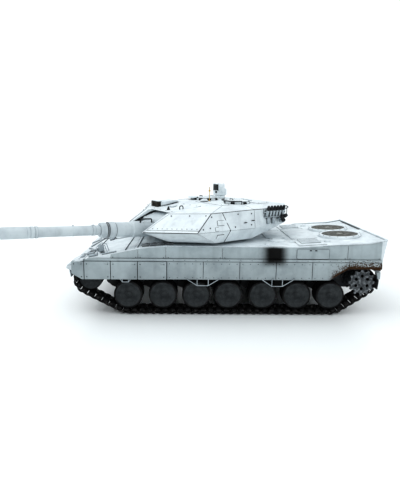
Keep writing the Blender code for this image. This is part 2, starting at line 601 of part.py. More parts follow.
def main():
    clear_scene()
    white = paint("winter_white", (0.82, 0.85, 0.87), 0.55)
    grey = paint("wheel_grey", (0.13, 0.15, 0.16), 0.60)
    rubber = paint("track_rubber", (0.03, 0.03, 0.03), 0.80)
    steel = paint("bare_steel", (0.35, 0.36, 0.37), 0.40, 0.9)
    bronze = paint("grille_olive", (0.30, 0.29, 0.24), 0.60)
    black = paint("black_plastic", (0.03, 0.03, 0.035), 0.50)
    green = paint("circuit_green", (0.02, 0.20, 0.08), 0.45)
    red = paint("battery_wrap", (0.35, 0.03, 0.03), 0.35)
    vehicle = empty("vehicle", (0.0, 0.0, 0.0))
    build_running_gear(vehicle, steel, rubber, grey)
    build_lower_hull(vehicle, white)
    deck = build_upper_hull(vehicle, white)
    build_driver_hatch(vehicle, deck, white)
    build_skirts(vehicle, white)
    build_fan_grilles(vehicle, bronze)
    build_inside(vehicle, black, green, steel, red)
    turret = empty("turret_pivot", (RING_X, 0.0, 0.0), vehicle, (0.0, 0.0, TRAVERSE))
    _, ring = build_turret_shell(turret, white)
    finish("turret_ring", ring, steel, turret, smooth=True)
    build_roof(turret, white, black)
    build_gun(turret, white, steel)
    stand_on_origin(vehicle)


main()
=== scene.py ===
"""Looks of a 1/16 radio-controlled tank in winter white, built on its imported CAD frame.

Lengths are in metres. HULL places vehicle coordinates (front -X, left -Y, ground z = 0), TURRET those of
the turret before it turns, and GUN those of the gun about its trunnion, with x pointing backwards.
"""

import json
from math import acos, asin, atan2, ceil, cos, hypot, pi, radians, sin, sqrt

import bmesh
import bpy
from mathutils import Matrix, Vector


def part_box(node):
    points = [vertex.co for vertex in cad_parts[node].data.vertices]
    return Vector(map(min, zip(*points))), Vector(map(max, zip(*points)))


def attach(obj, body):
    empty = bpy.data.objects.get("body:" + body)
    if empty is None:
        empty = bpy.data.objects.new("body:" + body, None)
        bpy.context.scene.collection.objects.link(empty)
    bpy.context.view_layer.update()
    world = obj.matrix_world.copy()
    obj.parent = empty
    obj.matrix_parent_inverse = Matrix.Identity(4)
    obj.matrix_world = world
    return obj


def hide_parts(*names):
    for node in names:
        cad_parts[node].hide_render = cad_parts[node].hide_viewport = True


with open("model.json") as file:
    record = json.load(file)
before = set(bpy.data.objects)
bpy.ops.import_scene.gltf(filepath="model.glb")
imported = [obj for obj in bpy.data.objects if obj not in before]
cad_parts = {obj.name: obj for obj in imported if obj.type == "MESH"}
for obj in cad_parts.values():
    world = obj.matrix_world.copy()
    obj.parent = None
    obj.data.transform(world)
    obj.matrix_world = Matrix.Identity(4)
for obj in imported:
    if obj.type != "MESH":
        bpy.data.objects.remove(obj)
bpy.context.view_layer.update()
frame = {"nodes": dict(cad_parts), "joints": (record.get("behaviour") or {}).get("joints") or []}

# Places read from the frame
TUB_REAR_X = 0.22
tub_low, tub_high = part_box("lower_hull")
OFFSET = Vector((tub_high[0] - TUB_REAR_X, (tub_low[1] + tub_high[1]) / 2, 0.0))
JOINTS = {joint["name"]: joint for joint in frame["joints"]}
pitch_axis = Vector(JOINTS["gun_elevation"]["axis"])
TRAVERSE = atan2(-pitch_axis.x, pitch_axis.y)
ELEVATION = -asin(Vector(JOINTS["barrel_recoil"]["axis"]).z)
ring_x, ring_y = JOINTS["turret_traverse"]["pos_m"][:2]
HULL = Matrix.Translation(OFFSET)
TURRET = Matrix.Translation((ring_x, ring_y, 0.0)) @ Matrix.Rotation(TRAVERSE, 4, "Z")
GUN = (Matrix.Translation(JOINTS["gun_elevation"]["pos_m"]) @ Matrix.Rotation(TRAVERSE, 4, "Z")
    @ Matrix.Rotation(ELEVATION, 4, "Y"))

HANDS = ((-1, "left"), (1, "right"))

# Running gear, hull and turret, as in the CAD
WHEEL_X = (-0.1538, -0.1015, -0.0508, -0.0023, 0.0501, 0.1024, 0.1536)
AXLE_Z = 0.029
WHEEL_RADIUS = 0.0217
TRACK_Y = 0.087
IDLER_X, IDLER_Z, IDLER_RADIUS = -0.21, 0.054, 0.0178
SPROCKET_X, SPROCKET_Z = 0.1984, 0.052
DRUM_RADIUS, TOOTH_TIP_RADIUS, TEETH = 0.0166, 0.0204, 12
LINKS = 82
GAP = 0.0003
ARM_REACH = 0.0262
ROLLER_Z = 0.0628
ROOF_Z = 0.162
FAN_X, FAN_Y, FAN_RADIUS = 0.183, 0.0345, 0.0317
COMMANDER, LOADER, SIGHT = (0.001, 0.038), (0.008, -0.038), (0.04, 0.052)
HATCH_RADIUS = 0.0165
TRUNNION_FORWARD = 0.095
MUZZLE = TRUNNION_FORWARD - 0.431
TUBE_RADIUS, SLEEVE_RADIUS, HOOD_RADIUS = 0.0071, 0.0108, 0.0255

# Weathering: the burnt patch, and the rusty arch over a sprocket, in vehicle coordinates
SOOT_X, SOOT_SIDE_Y = 0.064, -0.104
ARCH_START_X, ARCH_SLOPE, ARCH_FOOT_Z, ARCH_TOP_Z = 0.1475, 0.648, 0.057, 0.0745
FENDER_TOP_Z = 0.088

# Studio: the camera that matches the photo, the floor and the light
FRAME_HEIGHT, FOCAL_PIXELS, SENSOR = 500, 470.0, 36.0
CAMERA_PLACE = (-0.984 / 16, -12.582 / 16, 3.776 / 16)
YAW, PITCH, ROLL = radians(1.3), radians(11.3), radians(0.7)
FLOOR_HALF = 8.0
WORLD_COLOUR, WORLD_STRENGTH = (0.955, 0.985, 1.0, 1.0), 0.86
SOFTBOX_PLACE, SOFTBOX_AIM, SOFTBOX_SIZE, SOFTBOX_POWER = (-0.75, -0.1, 1.35), (-0.05, 0.05, 0.0), 1.4, 3.8


# ---------------------------------------------------------------- materials


class Look:
    """Builds one procedural Principled material with a few short calls."""

    def __init__(self, name, roughness=0.5, metallic=0.0, specular=0.25):
        self.material = bpy.data.materials.new(name)
        self.material.use_nodes = True
        self.nodes = self.material.node_tree.nodes
        self.links = self.material.node_tree.links
        self.shader = self.nodes["Principled BSDF"]
        self.shader.inputs["Roughness"].default_value = roughness
        self.shader.inputs["Metallic"].default_value = metallic
        self.shader.inputs["Specular IOR Level"].default_value = specular
        self.where = self.nodes.new("ShaderNodeTexCoord").outputs["Object"]

    def put(self, socket, value):
        if isinstance(value, bpy.types.NodeSocket):
            self.links.new(value, socket)
        elif socket.type == "RGBA" and len(value) == 3:
            socket.default_value = (*value, 1.0)
        else:
            socket.default_value = value

    def math(self, operation, a, b=0.0, clamp=False):
        node = self.nodes.new("ShaderNodeMath")
        node.operation, node.use_clamp = operation, clamp
        self.put(node.inputs[0], a)
        self.put(node.inputs[1], b)
        return node.outputs[0]

    def times(self, a, b):
        return self.math("MULTIPLY", a, b)

    def axis(self, index):
        node = self.nodes.new("ShaderNodeSeparateXYZ")
        self.put(node.inputs[0], self.where)
        return node.outputs[index]

    def noise(self, scale, detail=4.0, roughness=0.6, stretch=(1.0, 1.0, 1.0), distortion=0.0):
        mapping = self.nodes.new("ShaderNodeMapping")
        mapping.inputs["Scale"].default_value = stretch
        self.put(mapping.inputs["Vector"], self.where)
        node = self.nodes.new("ShaderNodeTexNoise")
        self.put(node.inputs["Vector"], mapping.outputs[0])
        self.put(node.inputs["Scale"], scale)
        self.put(node.inputs["Detail"], detail)
        self.put(node.inputs["Roughness"], roughness)
        self.put(node.inputs["Distortion"], distortion)
        return node.outputs["Fac"]

    def step(self, value, low, high, to_low=0.0, to_high=1.0):
        """A smooth step of value from low to high."""
        node = self.nodes.new("ShaderNodeMapRange")
        node.interpolation_type = "SMOOTHSTEP"
        self.put(node.inputs["Value"], value)
        for key, number in (("From Min", low), ("From Max", high), ("To Min", to_low), ("To Max", to_high)):
            self.put(node.inputs[key], number)
        return node.outputs[0]

    def mix(self, share, a, b, blend="MIX"):
        node = self.nodes.new("ShaderNodeMix")
        node.data_type, node.blend_type = "RGBA", blend
        self.put(node.inputs[0], share)
        self.put(node.inputs[6], a)
        self.put(node.inputs[7], b)
        return node.outputs[2]

    def hollows(self, distance):
        """Painted shade: 1 in corners and under overhangs, where the ambient occlusion node finds shade, 0 in
        the open.
        """
        node = self.nodes.new("ShaderNodeAmbientOcclusion")
        node.samples = 8
        node.inputs["Distance"].default_value = distance
        return self.math("SUBTRACT", 1.0, node.outputs["AO"], clamp=True)

    def colour(self, value):
        self.put(self.shader.inputs["Base Color"], value)

    def rough(self, value):
        self.put(self.shader.inputs["Roughness"], value)

    def bump(self, height, distance, strength=0.5):
        node = self.nodes.new("ShaderNodeBump")
        node.inputs["Strength"].default_value = strength
        node.inputs["Distance"].default_value = distance
        self.put(node.inputs["Height"], height)
        self.links.new(node.outputs[0], self.shader.inputs["Normal"])


def painted(name, base, shade, wash=(0.03, 0.032, 0.034), weather=True, roughness=0.55):
    """Matt paint: cloudy tone, painted shade in corners and under overhangs that also stands for the dark wash
    in panel lines, faint rain streaks, dust low down, soot and rust spots.
    """
    look = Look(name, roughness)
    cloud = look.step(look.noise(28.0, 5.0), 0.35, 0.7)
    streak = look.step(look.noise(90.0, 3.0, 0.5, (1.0, 1.0, 0.1)), 0.48, 0.75)
    speck = look.step(look.noise(420.0, 2.0, 0.5), 0.68, 0.76)
    tone = look.mix(cloud, base, shade)
    tone = look.mix(look.times(streak, 0.35), tone, tuple(0.72 * c for c in shade))
    tone = look.mix(look.times(speck, 0.25), tone, (0.16, 0.15, 0.14))
    # Painted shade: ambient occlusion darkens corners and undersides towards the wash colour; in panel lines it
    # also stands for the real dark wash.
    occlusion_shade = look.hollows(0.0045)
    dark = look.times(look.step(occlusion_shade, 0.22, 0.75), 0.85)
    tone = look.mix(dark, tone, wash)
    if weather:
        height = look.axis(2)
        low = look.step(height, 0.05, 0.105, 0.4, 0.0)
        tone = look.mix(look.times(low, look.noise(45.0, 4.0)), tone, (0.2, 0.21, 0.21))
        tone = look.mix(soot(look), tone, (0.003, 0.003, 0.003))
        tone = look.mix(mud(look), tone, (0.05, 0.023, 0.008))
    look.colour(tone)
    look.rough(look.step(look.noise(60.0, 3.0), 0.3, 0.7, roughness - 0.1, roughness + 0.12))
    look.bump(look.noise(900.0, 3.0, 0.5), 0.00012, 0.35)
    return look.material


def soot(look):
    """A burnt patch on the left side below the deck, where the heater's exhaust comes out."""
    x = look.math("SUBTRACT", look.axis(0), OFFSET.x + SOOT_X)
    ragged = look.times(look.math("SUBTRACT", look.noise(60.0, 5.0), 0.5), 0.006)
    across = look.math("ABSOLUTE", look.math("ADD", x, ragged))
    inner = look.step(across, 0.007, 0.025, 1.0, 0.0)
    height = look.math("ADD", look.axis(2), look.times(ragged, 0.8))
    low = look.step(height, 0.073, 0.087)
    top = look.step(height, 0.1035, 0.1085, 1.0, 0.0)
    side = look.math("LESS_THAN", look.axis(1), OFFSET.y + SOOT_SIDE_Y)
    return look.times(look.times(inner, low), look.times(top, side))


def mud(look):
    """Rusty mud thrown up round the arch over each sprocket."""
    along = look.math("SUBTRACT", look.axis(0), OFFSET.x + ARCH_START_X)
    edge = look.math("MINIMUM", look.math("ADD", look.times(along, ARCH_SLOPE), ARCH_FOOT_Z), ARCH_TOP_Z)
    above = look.math("SUBTRACT", look.axis(2), edge)
    band = look.step(above, 0.0024, 0.0042, 1.0, 0.0)
    spray = look.step(above, 0.002, 0.017, 0.66, 0.33)
    spots = look.math("LESS_THAN", look.noise(680.0, 0.0, 0.5), look.times(spray, 0.86))
    both = look.math("MAXIMUM", band, spots)
    start = look.times(look.step(along, -0.006, 0.008), look.step(above, -0.004, -0.0025))
    start = look.times(start, look.math("LESS_THAN", look.axis(2), FENDER_TOP_Z))
    return look.times(both, start)


def dark_plain(name, base, shade, roughness=0.7, metallic=0.0, grain=500.0, dust=0.1):
    """A dark moulded or cast surface with uneven tone, dust in the hollows and a fine grain."""
    look = Look(name, roughness, metallic)
    tone = look.mix(look.step(look.noise(55.0, 5.0), 0.35, 0.7), base, shade)
    dusty = look.times(look.step(look.noise(140.0, 4.0), 0.5, 0.75), dust)
    tone = look.mix(dusty, tone, (0.22, 0.21, 0.2))
    look.colour(tone)
    look.rough(look.step(look.noise(80.0, 3.0), 0.3, 0.7, roughness - 0.12, roughness + 0.12))
    look.bump(look.noise(grain, 3.0, 0.55), 0.00025, 0.45)
    return look.material


def wheel_paint():
    """Dark grey wheel paint with turned rings, dust and scuffs, and painted shade in its hollows; its centre is
    the wheel's own.
    """
    look = Look("wheel_paint", 0.55)
    square = look.math("ADD", look.math("POWER", look.axis(0), 2.0), look.math("POWER", look.axis(2), 2.0))
    radius = look.math("SQRT", square)
    rings = look.math("SINE", look.times(radius, 4200.0))
    fine = look.math("ADD", look.times(rings, 0.5), look.noise(90.0, 4.0))
    tone = look.mix(look.step(look.noise(110.0, 5.0), 0.35, 0.72), (0.032, 0.036, 0.039),
        (0.066, 0.072, 0.076))
    tone = look.mix(look.times(look.step(fine, 0.75, 1.05), 0.35), tone, (0.12, 0.13, 0.13))
    # Painted shade: the ambient occlusion darkens the wheel's hollows nearly to black.
    tone = look.mix(look.step(look.hollows(0.003), 0.3, 0.85), tone, (0.012, 0.013, 0.014))
    look.colour(tone)
    look.rough(look.step(look.noise(120.0, 3.0), 0.3, 0.7, 0.42, 0.68))
    look.bump(fine, 0.00018, 0.4)
    return look.material


def worn_steel(name, base, edge, roughness=0.42):
    """Steel or brass with bright worn patches and painted shade in its hollows."""
    look = Look(name, roughness, 0.55)
    worn = look.step(look.noise(210.0, 5.0, 0.7), 0.46, 0.62)
    tone = look.mix(worn, base, edge)
    # Painted shade: the ambient occlusion darkens the hollows nearly to black.
    tone = look.mix(look.step(look.hollows(0.003), 0.25, 0.8), tone, (0.02, 0.018, 0.017))
    look.colour(tone)
    look.rough(look.step(worn, 0.0, 1.0, roughness + 0.18, roughness - 0.08))
    look.bump(look.noise(650.0, 3.0), 0.0002, 0.45)
    return look.material


def glassy(name, base, roughness=0.08):
    """Glass or lens plastic of slightly uneven tone and polish."""
    look = Look(name, roughness, specular=0.35)
    look.colour(look.mix(look.step(look.noise(60.0, 3.0), 0.3, 0.7), base,
        tuple(1.6 * c + 0.004 for c in base)))
    look.rough(look.step(look.noise(200.0, 3.0), 0.35, 0.75, roughness, roughness + 0.18))
    return look.material


WHITE = painted("winter_white", (0.7, 0.755, 0.78), (0.57, 0.62, 0.65))
# Painted shade: a darker copy of the winter white for the side-facing plates, standing for the lesser light that
# the sides get from above.
SHADED_WHITE = painted("white_with_painted_side_shade", (0.405, 0.46, 0.48), (0.305, 0.35, 0.37))
PLAIN_WHITE = painted("gun_white", (0.56, 0.615, 0.64), (0.45, 0.5, 0.53), weather=False)
FITTINGS = painted("washed_fittings", (0.46, 0.51, 0.54), (0.3, 0.34, 0.37))
RUBBER = dark_plain("track_rubber", (0.01, 0.01, 0.011), (0.022, 0.022, 0.023), 0.82, dust=0.1)
TYRE = dark_plain("tyre_rubber", (0.012, 0.012, 0.013), (0.024, 0.024, 0.025), 0.78, dust=0.14)
WHEEL = wheel_paint()
DARK = dark_plain("dark_trim", (0.02, 0.022, 0.024), (0.045, 0.048, 0.051), 0.6)
GREY_TRIM = dark_plain("grey_fittings", (0.13, 0.14, 0.15), (0.24, 0.26, 0.27), 0.55, dust=0.3)
ARM = dark_plain("arm_casting", (0.03, 0.032, 0.034), (0.06, 0.062, 0.064), 0.62, 0.3)
TRACK_STEEL = worn_steel("track_steel", (0.018, 0.018, 0.019), (0.075, 0.072, 0.07), 0.5)
SPROCKET_STEEL = worn_steel("sprocket_steel", (0.085, 0.092, 0.098), (0.25, 0.265, 0.28))
BARE = worn_steel("bare_steel", (0.3, 0.31, 0.32), (0.55, 0.55, 0.56), 0.34)
MESH = worn_steel("grille_bronze", (0.25, 0.255, 0.24), (0.4, 0.405, 0.385), 0.6)
BRASS = worn_steel("brass", (0.42, 0.27, 0.08), (0.72, 0.53, 0.2), 0.3)
BROWN = dark_plain("sight_doors", (0.02, 0.02, 0.017), (0.052, 0.05, 0.042), 0.5)
GLASS = glassy("sight_glass", (0.006, 0.008, 0.01))
LENS = glassy("lamp_lens", (0.55, 0.58, 0.6))
RED_LENS = glassy("tail_lens", (0.3, 0.012, 0.01))
BOARD = dark_plain("circuit_green", (0.01, 0.12, 0.045), (0.02, 0.2, 0.08), 0.45)
WRAP = dark_plain("battery_wrap", (0.25, 0.02, 0.02), (0.38, 0.035, 0.03), 0.35)


# ---------------------------------------------------------------- shapes


def turns(count, shift=0.0):
    """The angles of so many places evenly round a circle."""
    return [2.0 * pi * (k + shift) / count for k in range(count)]


def oval(count, across, up):
    return [(across * cos(a), up * sin(a)) for a in turns(count)]


def rod(radius, low, high):
    """The profile of a plain cylinder."""
    return [(0.0, low), (radius, low), (radius, high), (0.0, high)]


def box(size, at=(0.0, 0.0, 0.0), turn=None, bevel=0.0004, segments=2):
    shape = bmesh.new()
    bmesh.ops.create_cube(shape, size=1.0, matrix=Matrix.Diagonal((*size, 1.0)))
    width = min(bevel, 0.3 * min(size))
    bmesh.ops.bevel(shape, geom=shape.edges[:], offset=width, segments=segments, affect="EDGES", profile=0.5)
    shape.transform(Matrix.Translation(at) @ (turn or Matrix()))
    return shape


def turned(profile, steps=32, axis="Y", at=(0.0, 0.0, 0.0)):
    """Turns a profile of (radius, height) points about an axis; it starts and ends on the axis or closes."""
    shape, rings = bmesh.new(), []
    closed = profile[0][0] != 0.0
    for radius, height in profile:
        ring = []
        for angle in turns(steps)[:1 if radius == 0.0 else steps]:
            across, up = radius * cos(angle), radius * sin(angle)
            point = {"X": (height, across, up), "Y": (across, height, up), "Z": (across, up, height)}[axis]
            ring.append(shape.verts.new(point))
        rings.append(ring)
    for first, second in list(zip(rings, rings[1:])) + ([(rings[-1], rings[0])] if closed else []):
        for i in range(steps):
            j = (i + 1) % steps
            corners = (first[i % len(first)], first[j % len(first)], second[j % len(second)],
                second[i % len(second)])
            shape.faces.new(list(dict.fromkeys(corners)))
    shape.transform(Matrix.Translation(at))
    return shape


def prism(outline, low, high, bevel=0.0004):
    """A closed outline of (x, z) points between two values of y, its edges rounded."""
    shape = bmesh.new()
    near = [shape.verts.new((x, low, z)) for x, z in outline]
    far = [shape.verts.new((x, high, z)) for x, z in outline]
    shape.faces.new(near)
    shape.faces.new(far[::-1])
    for i in range(len(outline)):
        j = (i + 1) % len(outline)
        shape.faces.new((near[i], far[i], far[j], near[j]))
    bmesh.ops.recalc_face_normals(shape, faces=shape.faces)
    width = min(bevel, 0.3 * abs(high - low))
    bmesh.ops.bevel(shape, geom=shape.edges[:], offset=width, segments=2, affect="EDGES", profile=0.5)
    return shape


def tube(points, radius, steps=8, closed=False):
    """A round rod along a line of points."""
    points = [Vector(point) for point in points]
    shape, rings, count = bmesh.new(), [], len(points)
    up = Vector((0.03, 0.05, 1.0)).normalized()
    for i, point in enumerate(points):
        before = points[i - 1] if i or closed else points[0]
        after = points[(i + 1) % count] if i < count - 1 or closed else points[-1]
        along = (after - before).normalized()
        if abs(along.dot(up)) > 0.95:
            up = Vector((1.0, 0.02, 0.03)).normalized()
        across = along.cross(up).normalized()
        up = across.cross(along).normalized()
        ring = []
        for angle in turns(steps):
            ring.append(shape.verts.new(point + radius * (cos(angle) * across + sin(angle) * up)))
        rings.append(ring)
    for first, second in list(zip(rings, rings[1:])) + ([(rings[-1], rings[0])] if closed else []):
        for k in range(steps):
            j = (k + 1) % steps
            shape.faces.new((first[k], first[j], second[j], second[k]))
    if not closed:
        shape.faces.new(rings[0][::-1])
        shape.faces.new(rings[-1])
    return shape


def skin(corners, thickness):
    """A thin armour plate that lies on a nearly flat patch, set in from the patch's edges; corners go round
    it anticlockwise seen from outside."""
    inset, sunk = 0.0004, 0.001
    corners = [Vector(corner) for corner in corners]
    middle = sum(corners, Vector()) / len(corners)
    normal = Vector()
    for i, corner in enumerate(corners):
        normal += (corner - middle).cross(corners[(i + 1) % len(corners)] - middle)
    normal.normalize()
    count, inner = len(corners), []
    for i, corner in enumerate(corners):
        back, ahead = (corners[i - 1] - corner).normalized(), (corners[(i + 1) % count] - corner).normalized()
        half = max(0.25, sin(back.angle(ahead) / 2.0))
        turn = back + ahead
        inward = turn.normalized() if turn.length > 1e-4 else normal.cross(ahead)
        if inward.dot(middle - corner) < 0.0:
            inward = -inward
        inner.append(corner + inward * (inset / half))
    shape = bmesh.new()
    low = [shape.verts.new(point - normal * sunk) for point in inner]
    high = [shape.verts.new(point + normal * thickness) for point in inner]
    shape.faces.new(low[::-1])
    top = shape.faces.new(high)
    for i in range(count):
        j = (i + 1) % count
        shape.faces.new((low[i], low[j], high[j], high[i]))
    rim = list(top.edges)
    bmesh.ops.bevel(shape, geom=rim, offset=min(0.00025, thickness * 0.4), segments=2, affect="EDGES",
        profile=0.5)
    return shape


def bolt(at, normal, radius=0.0007, height=0.0006, steps=6):
    profile = [(0.0, -0.0003), (radius, -0.0003), (radius, 0.6 * height), (0.75 * radius, height),
        (0.0, height)]
    shape = turned(profile, steps, "Z")
    shape.transform(Matrix.Translation(at) @ Vector(normal).to_track_quat("Z", "Y").to_matrix().to_4x4())
    return shape


def gather(shapes):
    """Several shapes as one."""
    whole = bmesh.new()
    for shape in shapes:
        mesh = bpy.data.meshes.new("part")
        shape.to_mesh(mesh)
        shape.free()
        whole.from_mesh(mesh)
        bpy.data.meshes.remove(mesh)
    return whole


def mirrored(shapes):
    """The shapes and their mirror images on the other side, as one."""
    whole = gather(shapes)
    mesh = bpy.data.meshes.new("half")
    whole.to_mesh(mesh)
    other = bmesh.new()
    other.from_mesh(mesh)
    bpy.data.meshes.remove(mesh)
    bmesh.ops.scale(other, vec=(1.0, -1.0, 1.0), verts=other.verts)
    bmesh.ops.reverse_faces(other, faces=other.faces)
    return gather([whole, other])


def mesh_of(name, shape, material, angle=35.0):
    """A smooth-shaded mesh with the material, sharp where faces meet at more than the angle in degrees."""
    shape = gather(shape) if isinstance(shape, list) else shape
    bmesh.ops.recalc_face_normals(shape, faces=shape.faces)
    mesh = bpy.data.meshes.new(name)
    shape.to_mesh(mesh)
    shape.free()
    mesh.shade_smooth()
    mesh.set_sharp_from_angle(angle=radians(angle))
    mesh.materials.append(material)
    return mesh


def piece(name, shape, material, body, place=HULL, slot=None, replaces=(), angle=35.0):
    """An object whose mesh is in the frame's coordinates, made from a shape in those of place."""
    shape = gather(shape) if isinstance(shape, list) else shape
    shape.transform(place)
    set_down(name, mesh_of(name, shape, material, angle), body, Matrix(), slot, replaces)


def both_sides(rows, body, place):
    """Pieces on the left and their mirror images on the right; a row is (name, shapes, material, slot, node it
    replaces), drawn on the positive side of y."""
    for side, word in HANDS:
        flip = place @ Matrix.Diagonal((1.0, side, 1.0, 1.0))
        for name, shapes, material, slot, node in rows:
            replaced = [f"{node}_{word}"] if node else ()
            piece(f"{name}_{word}", [shape.copy() for shape in shapes], material, body, flip, slot, replaced)


def set_down(name, mesh, body, place, slot=None, replaces=()):
    thing = bpy.data.objects.new(name, mesh)
    bpy.context.collection.objects.link(thing)
    thing.matrix_world = place
    bpy.context.view_layer.update()
    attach(thing, body)
    if replaces:
        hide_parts(*replaces)


def repaint(node, material, bevel=0.0):
    """A CAD node keeps its shape and gets a finish, and rounded edges where bevel is given."""
    thing = frame["nodes"][node]
    if not thing.material_slots:
        thing.data.materials.append(None)
    for material_slot in thing.material_slots:
        material_slot.link = "OBJECT"
        material_slot.material = material
    if bevel:
        modifier = thing.modifiers.new("edges", "BEVEL")
        modifier.width = bevel
        modifier.segments = 2
        modifier.limit_method = "ANGLE"
        modifier.angle_limit = radians(30.0)
        modifier.harden_normals = False


def lerp(a, b, share):
    return Vector(a).lerp(Vector(b), share)


# ---------------------------------------------------------------- running gear


def belt_line(circles, grow):
    """The line of a belt round circles (x, z, radius), listed anticlockwise, at a distance grow outside them."""
    arc_step, normals = radians(3.0), []
    for (x0, z0, r0), (x1, z1, r1) in zip(circles, circles[1:] + circles[:1]):
        angle = atan2(z1 - z0, x1 - x0)
        normals.append(angle - acos((r0 - r1) / hypot(x1 - x0, z1 - z0)))
    line = []
    for i, (x, z, radius) in enumerate(circles):
        start, end = normals[i - 1], normals[i]
        while end < start - 1e-9:
            end += 2.0 * pi
        count = max(1, ceil((end - start) / arc_step))
        for k in range(count + 1):
            angle = start + (end - start) * k / count
            line.append(Vector((x + (radius + grow) * cos(angle), z + (radius + grow) * sin(angle))))
    return line


def walk(line, count):
    """So many evenly spaced points round a closed line."""
    legs = [(a, b, (b - a).length) for a, b in zip(line, line[1:] + line[:1]) if (b - a).length > 1e-7]
    total, found = sum(leg[2] for leg in legs), []
    reach, number = 0.0, 0
    for k in range(count):
        want = total * k / count
        while reach + legs[number][2] < want:
            reach += legs[number][2]
            number += 1
        a, b, length = legs[number]
        found.append(a.lerp(b, (want - reach) / length))
    return found


def repeated(shapes, places):
    """One shape set down at many places, as one."""
    source = gather(shapes)
    points = [vertex.co.copy() for vertex in source.verts]
    source.verts.index_update()
    faces = [[vertex.index for vertex in face.verts] for face in source.faces]
    source.free()
    all_points, all_faces = [], []
    for place in places:
        base = len(all_points)
        all_points += [place @ point for point in points]
        all_faces += [[base + i for i in face] for face in faces]
    mesh = bpy.data.meshes.new("many")
    mesh.from_pydata(all_points, [], all_faces)
    whole = bmesh.new()
    whole.from_mesh(mesh)
    bpy.data.meshes.remove(mesh)
    return whole


def build_tracks():
    """Each track is made of jointed links: two padded bodies, pins, end connectors and a guide horn."""
    circles = [(WHEEL_X[-1], AXLE_Z, WHEEL_RADIUS + GAP), (SPROCKET_X, SPROCKET_Z, DRUM_RADIUS + GAP)]
    circles += [(IDLER_X, IDLER_Z, IDLER_RADIUS + GAP), (WHEEL_X[0], AXLE_Z, WHEEL_RADIUS + GAP)]
    pin_height = 0.0028
    joints = walk(belt_line(circles, pin_height), LINKS)

    def spot(at, start, end):
        along = (end - start).normalized()
        return Matrix.Translation((at.x, 0.0, at.y)) @ Matrix.Rotation(-atan2(along.y, along.x), 4, "Y")

    ahead, behind = joints[1:] + joints[:1], joints[-1:] + joints[:-1]
    places = [spot((here + after) / 2.0, here, after) for here, after in zip(joints, ahead)]
    hinge_places = [spot(here, before, after) for before, here, after in zip(behind, joints, ahead)]
    if links_face_out(places):
        flip = Matrix.Rotation(pi, 4, "X")
        places, hinge_places = [place @ flip for place in places], [place @ flip for place in hinge_places]
    # A link's own z points to the inside of the belt.
    body, pads = [], []
    for side in (-1, 1):
        y = side * 0.0087
        ends = [(-0.0036, 0.002), (0.0036, 0.002), (0.004, 0.0), (0.0032, -0.0016), (-0.0032, -0.0016)]
        ends += [(-0.004, 0.0)]
        body.append(prism(ends, y - 0.0072, y + 0.0072, 0.0003))
        for x in (-0.0041, 0.0041):
            body.append(turned(rod(0.0013, -0.007, 0.007), 8, "Y", (x, y, 0.0)))
        pads.append(box((0.0066, 0.0128, 0.0026), (0.0, y, -0.0028), bevel=0.0007))
        pads.append(box((0.006, 0.012, 0.0009), (0.0, y, 0.0023), bevel=0.0003))
    connectors = []
    for side in (-1, 1):
        outline = [(x, z - 0.0014) for x, z in oval(10, 0.0046, 0.0016)]
        connectors.append(prism(outline, side * 0.0171, side * 0.0199, 0.0004))
        connectors.append(bolt((0.0, side * 0.0199, -0.0014), (0.0, side, 0.0), 0.001, 0.0006))
    horn = [(-0.003, -0.001), (0.003, -0.001), (0.0026, 0.0022), (0.0009, 0.0062), (-0.0009, 0.0062)]
    horn += [(-0.0026, 0.0022)]
    connectors.append(prism(horn, -0.0014, 0.0014, 0.0004))
    for side, word in HANDS:
        rows = (
            ("links", body, TRACK_STEEL, places, [f"track_{word}"]),
            ("pads", pads, RUBBER, places, ()),
            ("connectors", connectors, TRACK_STEEL, hinge_places, ()),
        )
        for name, shapes, material, where, replaced in rows:
            belt = repeated([shape.copy() for shape in shapes], where)
            place = HULL @ Matrix.Translation((0.0, side * TRACK_Y, 0.0))
            piece(f"track_{name}_{word}", belt, material, "hull", place, "track", replaced)


def links_face_out(places):
    """True if a link's own +Z points away from the middle of the belt, so that it has to be turned over."""
    lowest = min(places, key=lambda spot: spot.translation.z)
    return (lowest.to_3x3() @ Vector((0.0, 0.0, 1.0))).z < 0.0


def wheel_shapes(radius, tyre, half, hub, steps=44):
    """(metal, rubber) shapes of a double dished wheel on the Y axis, its outer face towards -Y."""
    rim, gap = radius - tyre, 0.0035
    profile = [(0.0, -half - 0.0009), (hub * 0.55, -half - 0.0009), (hub * 0.8, -half - 0.0004),
        (hub, -half + 0.0003), (hub, -half + 0.0016), (hub + 0.0012, -half + 0.0019)]
    for share, depth in ((0.35, 0.0023), (0.55, 0.0021), (0.58, 0.0017), (0.74, 0.0012), (0.77, 0.0007)):
        profile.append((hub + (rim - hub) * share, -half + depth))
    profile += [(rim - 0.0017, -half + 0.0004), (rim - 0.0012, -half - 0.0001),
        (rim - 0.0002, -half - 0.0001), (rim, -half + 0.0003), (rim, -gap - 0.0006), (rim - 0.001, -gap),
        (hub + 0.002, -gap - 0.002), (hub, -gap), (hub, gap), (hub + 0.002, gap + 0.002), (rim - 0.001, gap),
        (rim, gap + 0.0006), (rim, half - 0.0003), (rim - 0.0012, half), (hub + 0.003, half - 0.003),
        (hub, half - 0.0006), (0.0, half - 0.0006)]
    metal = [turned(profile, steps)]
    reach = hub + 0.0026
    for angle in turns(6, 0.5):
        metal.append(bolt((reach * cos(angle), -half + 0.0024, reach * sin(angle)), (0, -1, 0), 0.0008,
            0.0007))
    metal.append(bolt((0.0, -half - 0.0008, 0.0), (0, -1, 0), 0.0013, 0.0008))
    rubber = []
    for near, far in ((-half, -gap), (gap, half)):
        ring = [(rim - 0.0002, near), (radius - 0.0009, near), (radius, near + 0.0008),
            (radius, far - 0.0008), (radius - 0.0009, far), (rim - 0.0002, far)]
        rubber.append(turned(ring, steps))
    return metal, rubber


def facing(x, side, z):
    """The place of a wheel whose outer face looks away from the hull."""
    turn = Matrix() if side < 0 else Matrix.Rotation(pi, 4, "Z")
    return HULL @ Matrix.Translation((x, side * TRACK_Y, z)) @ turn


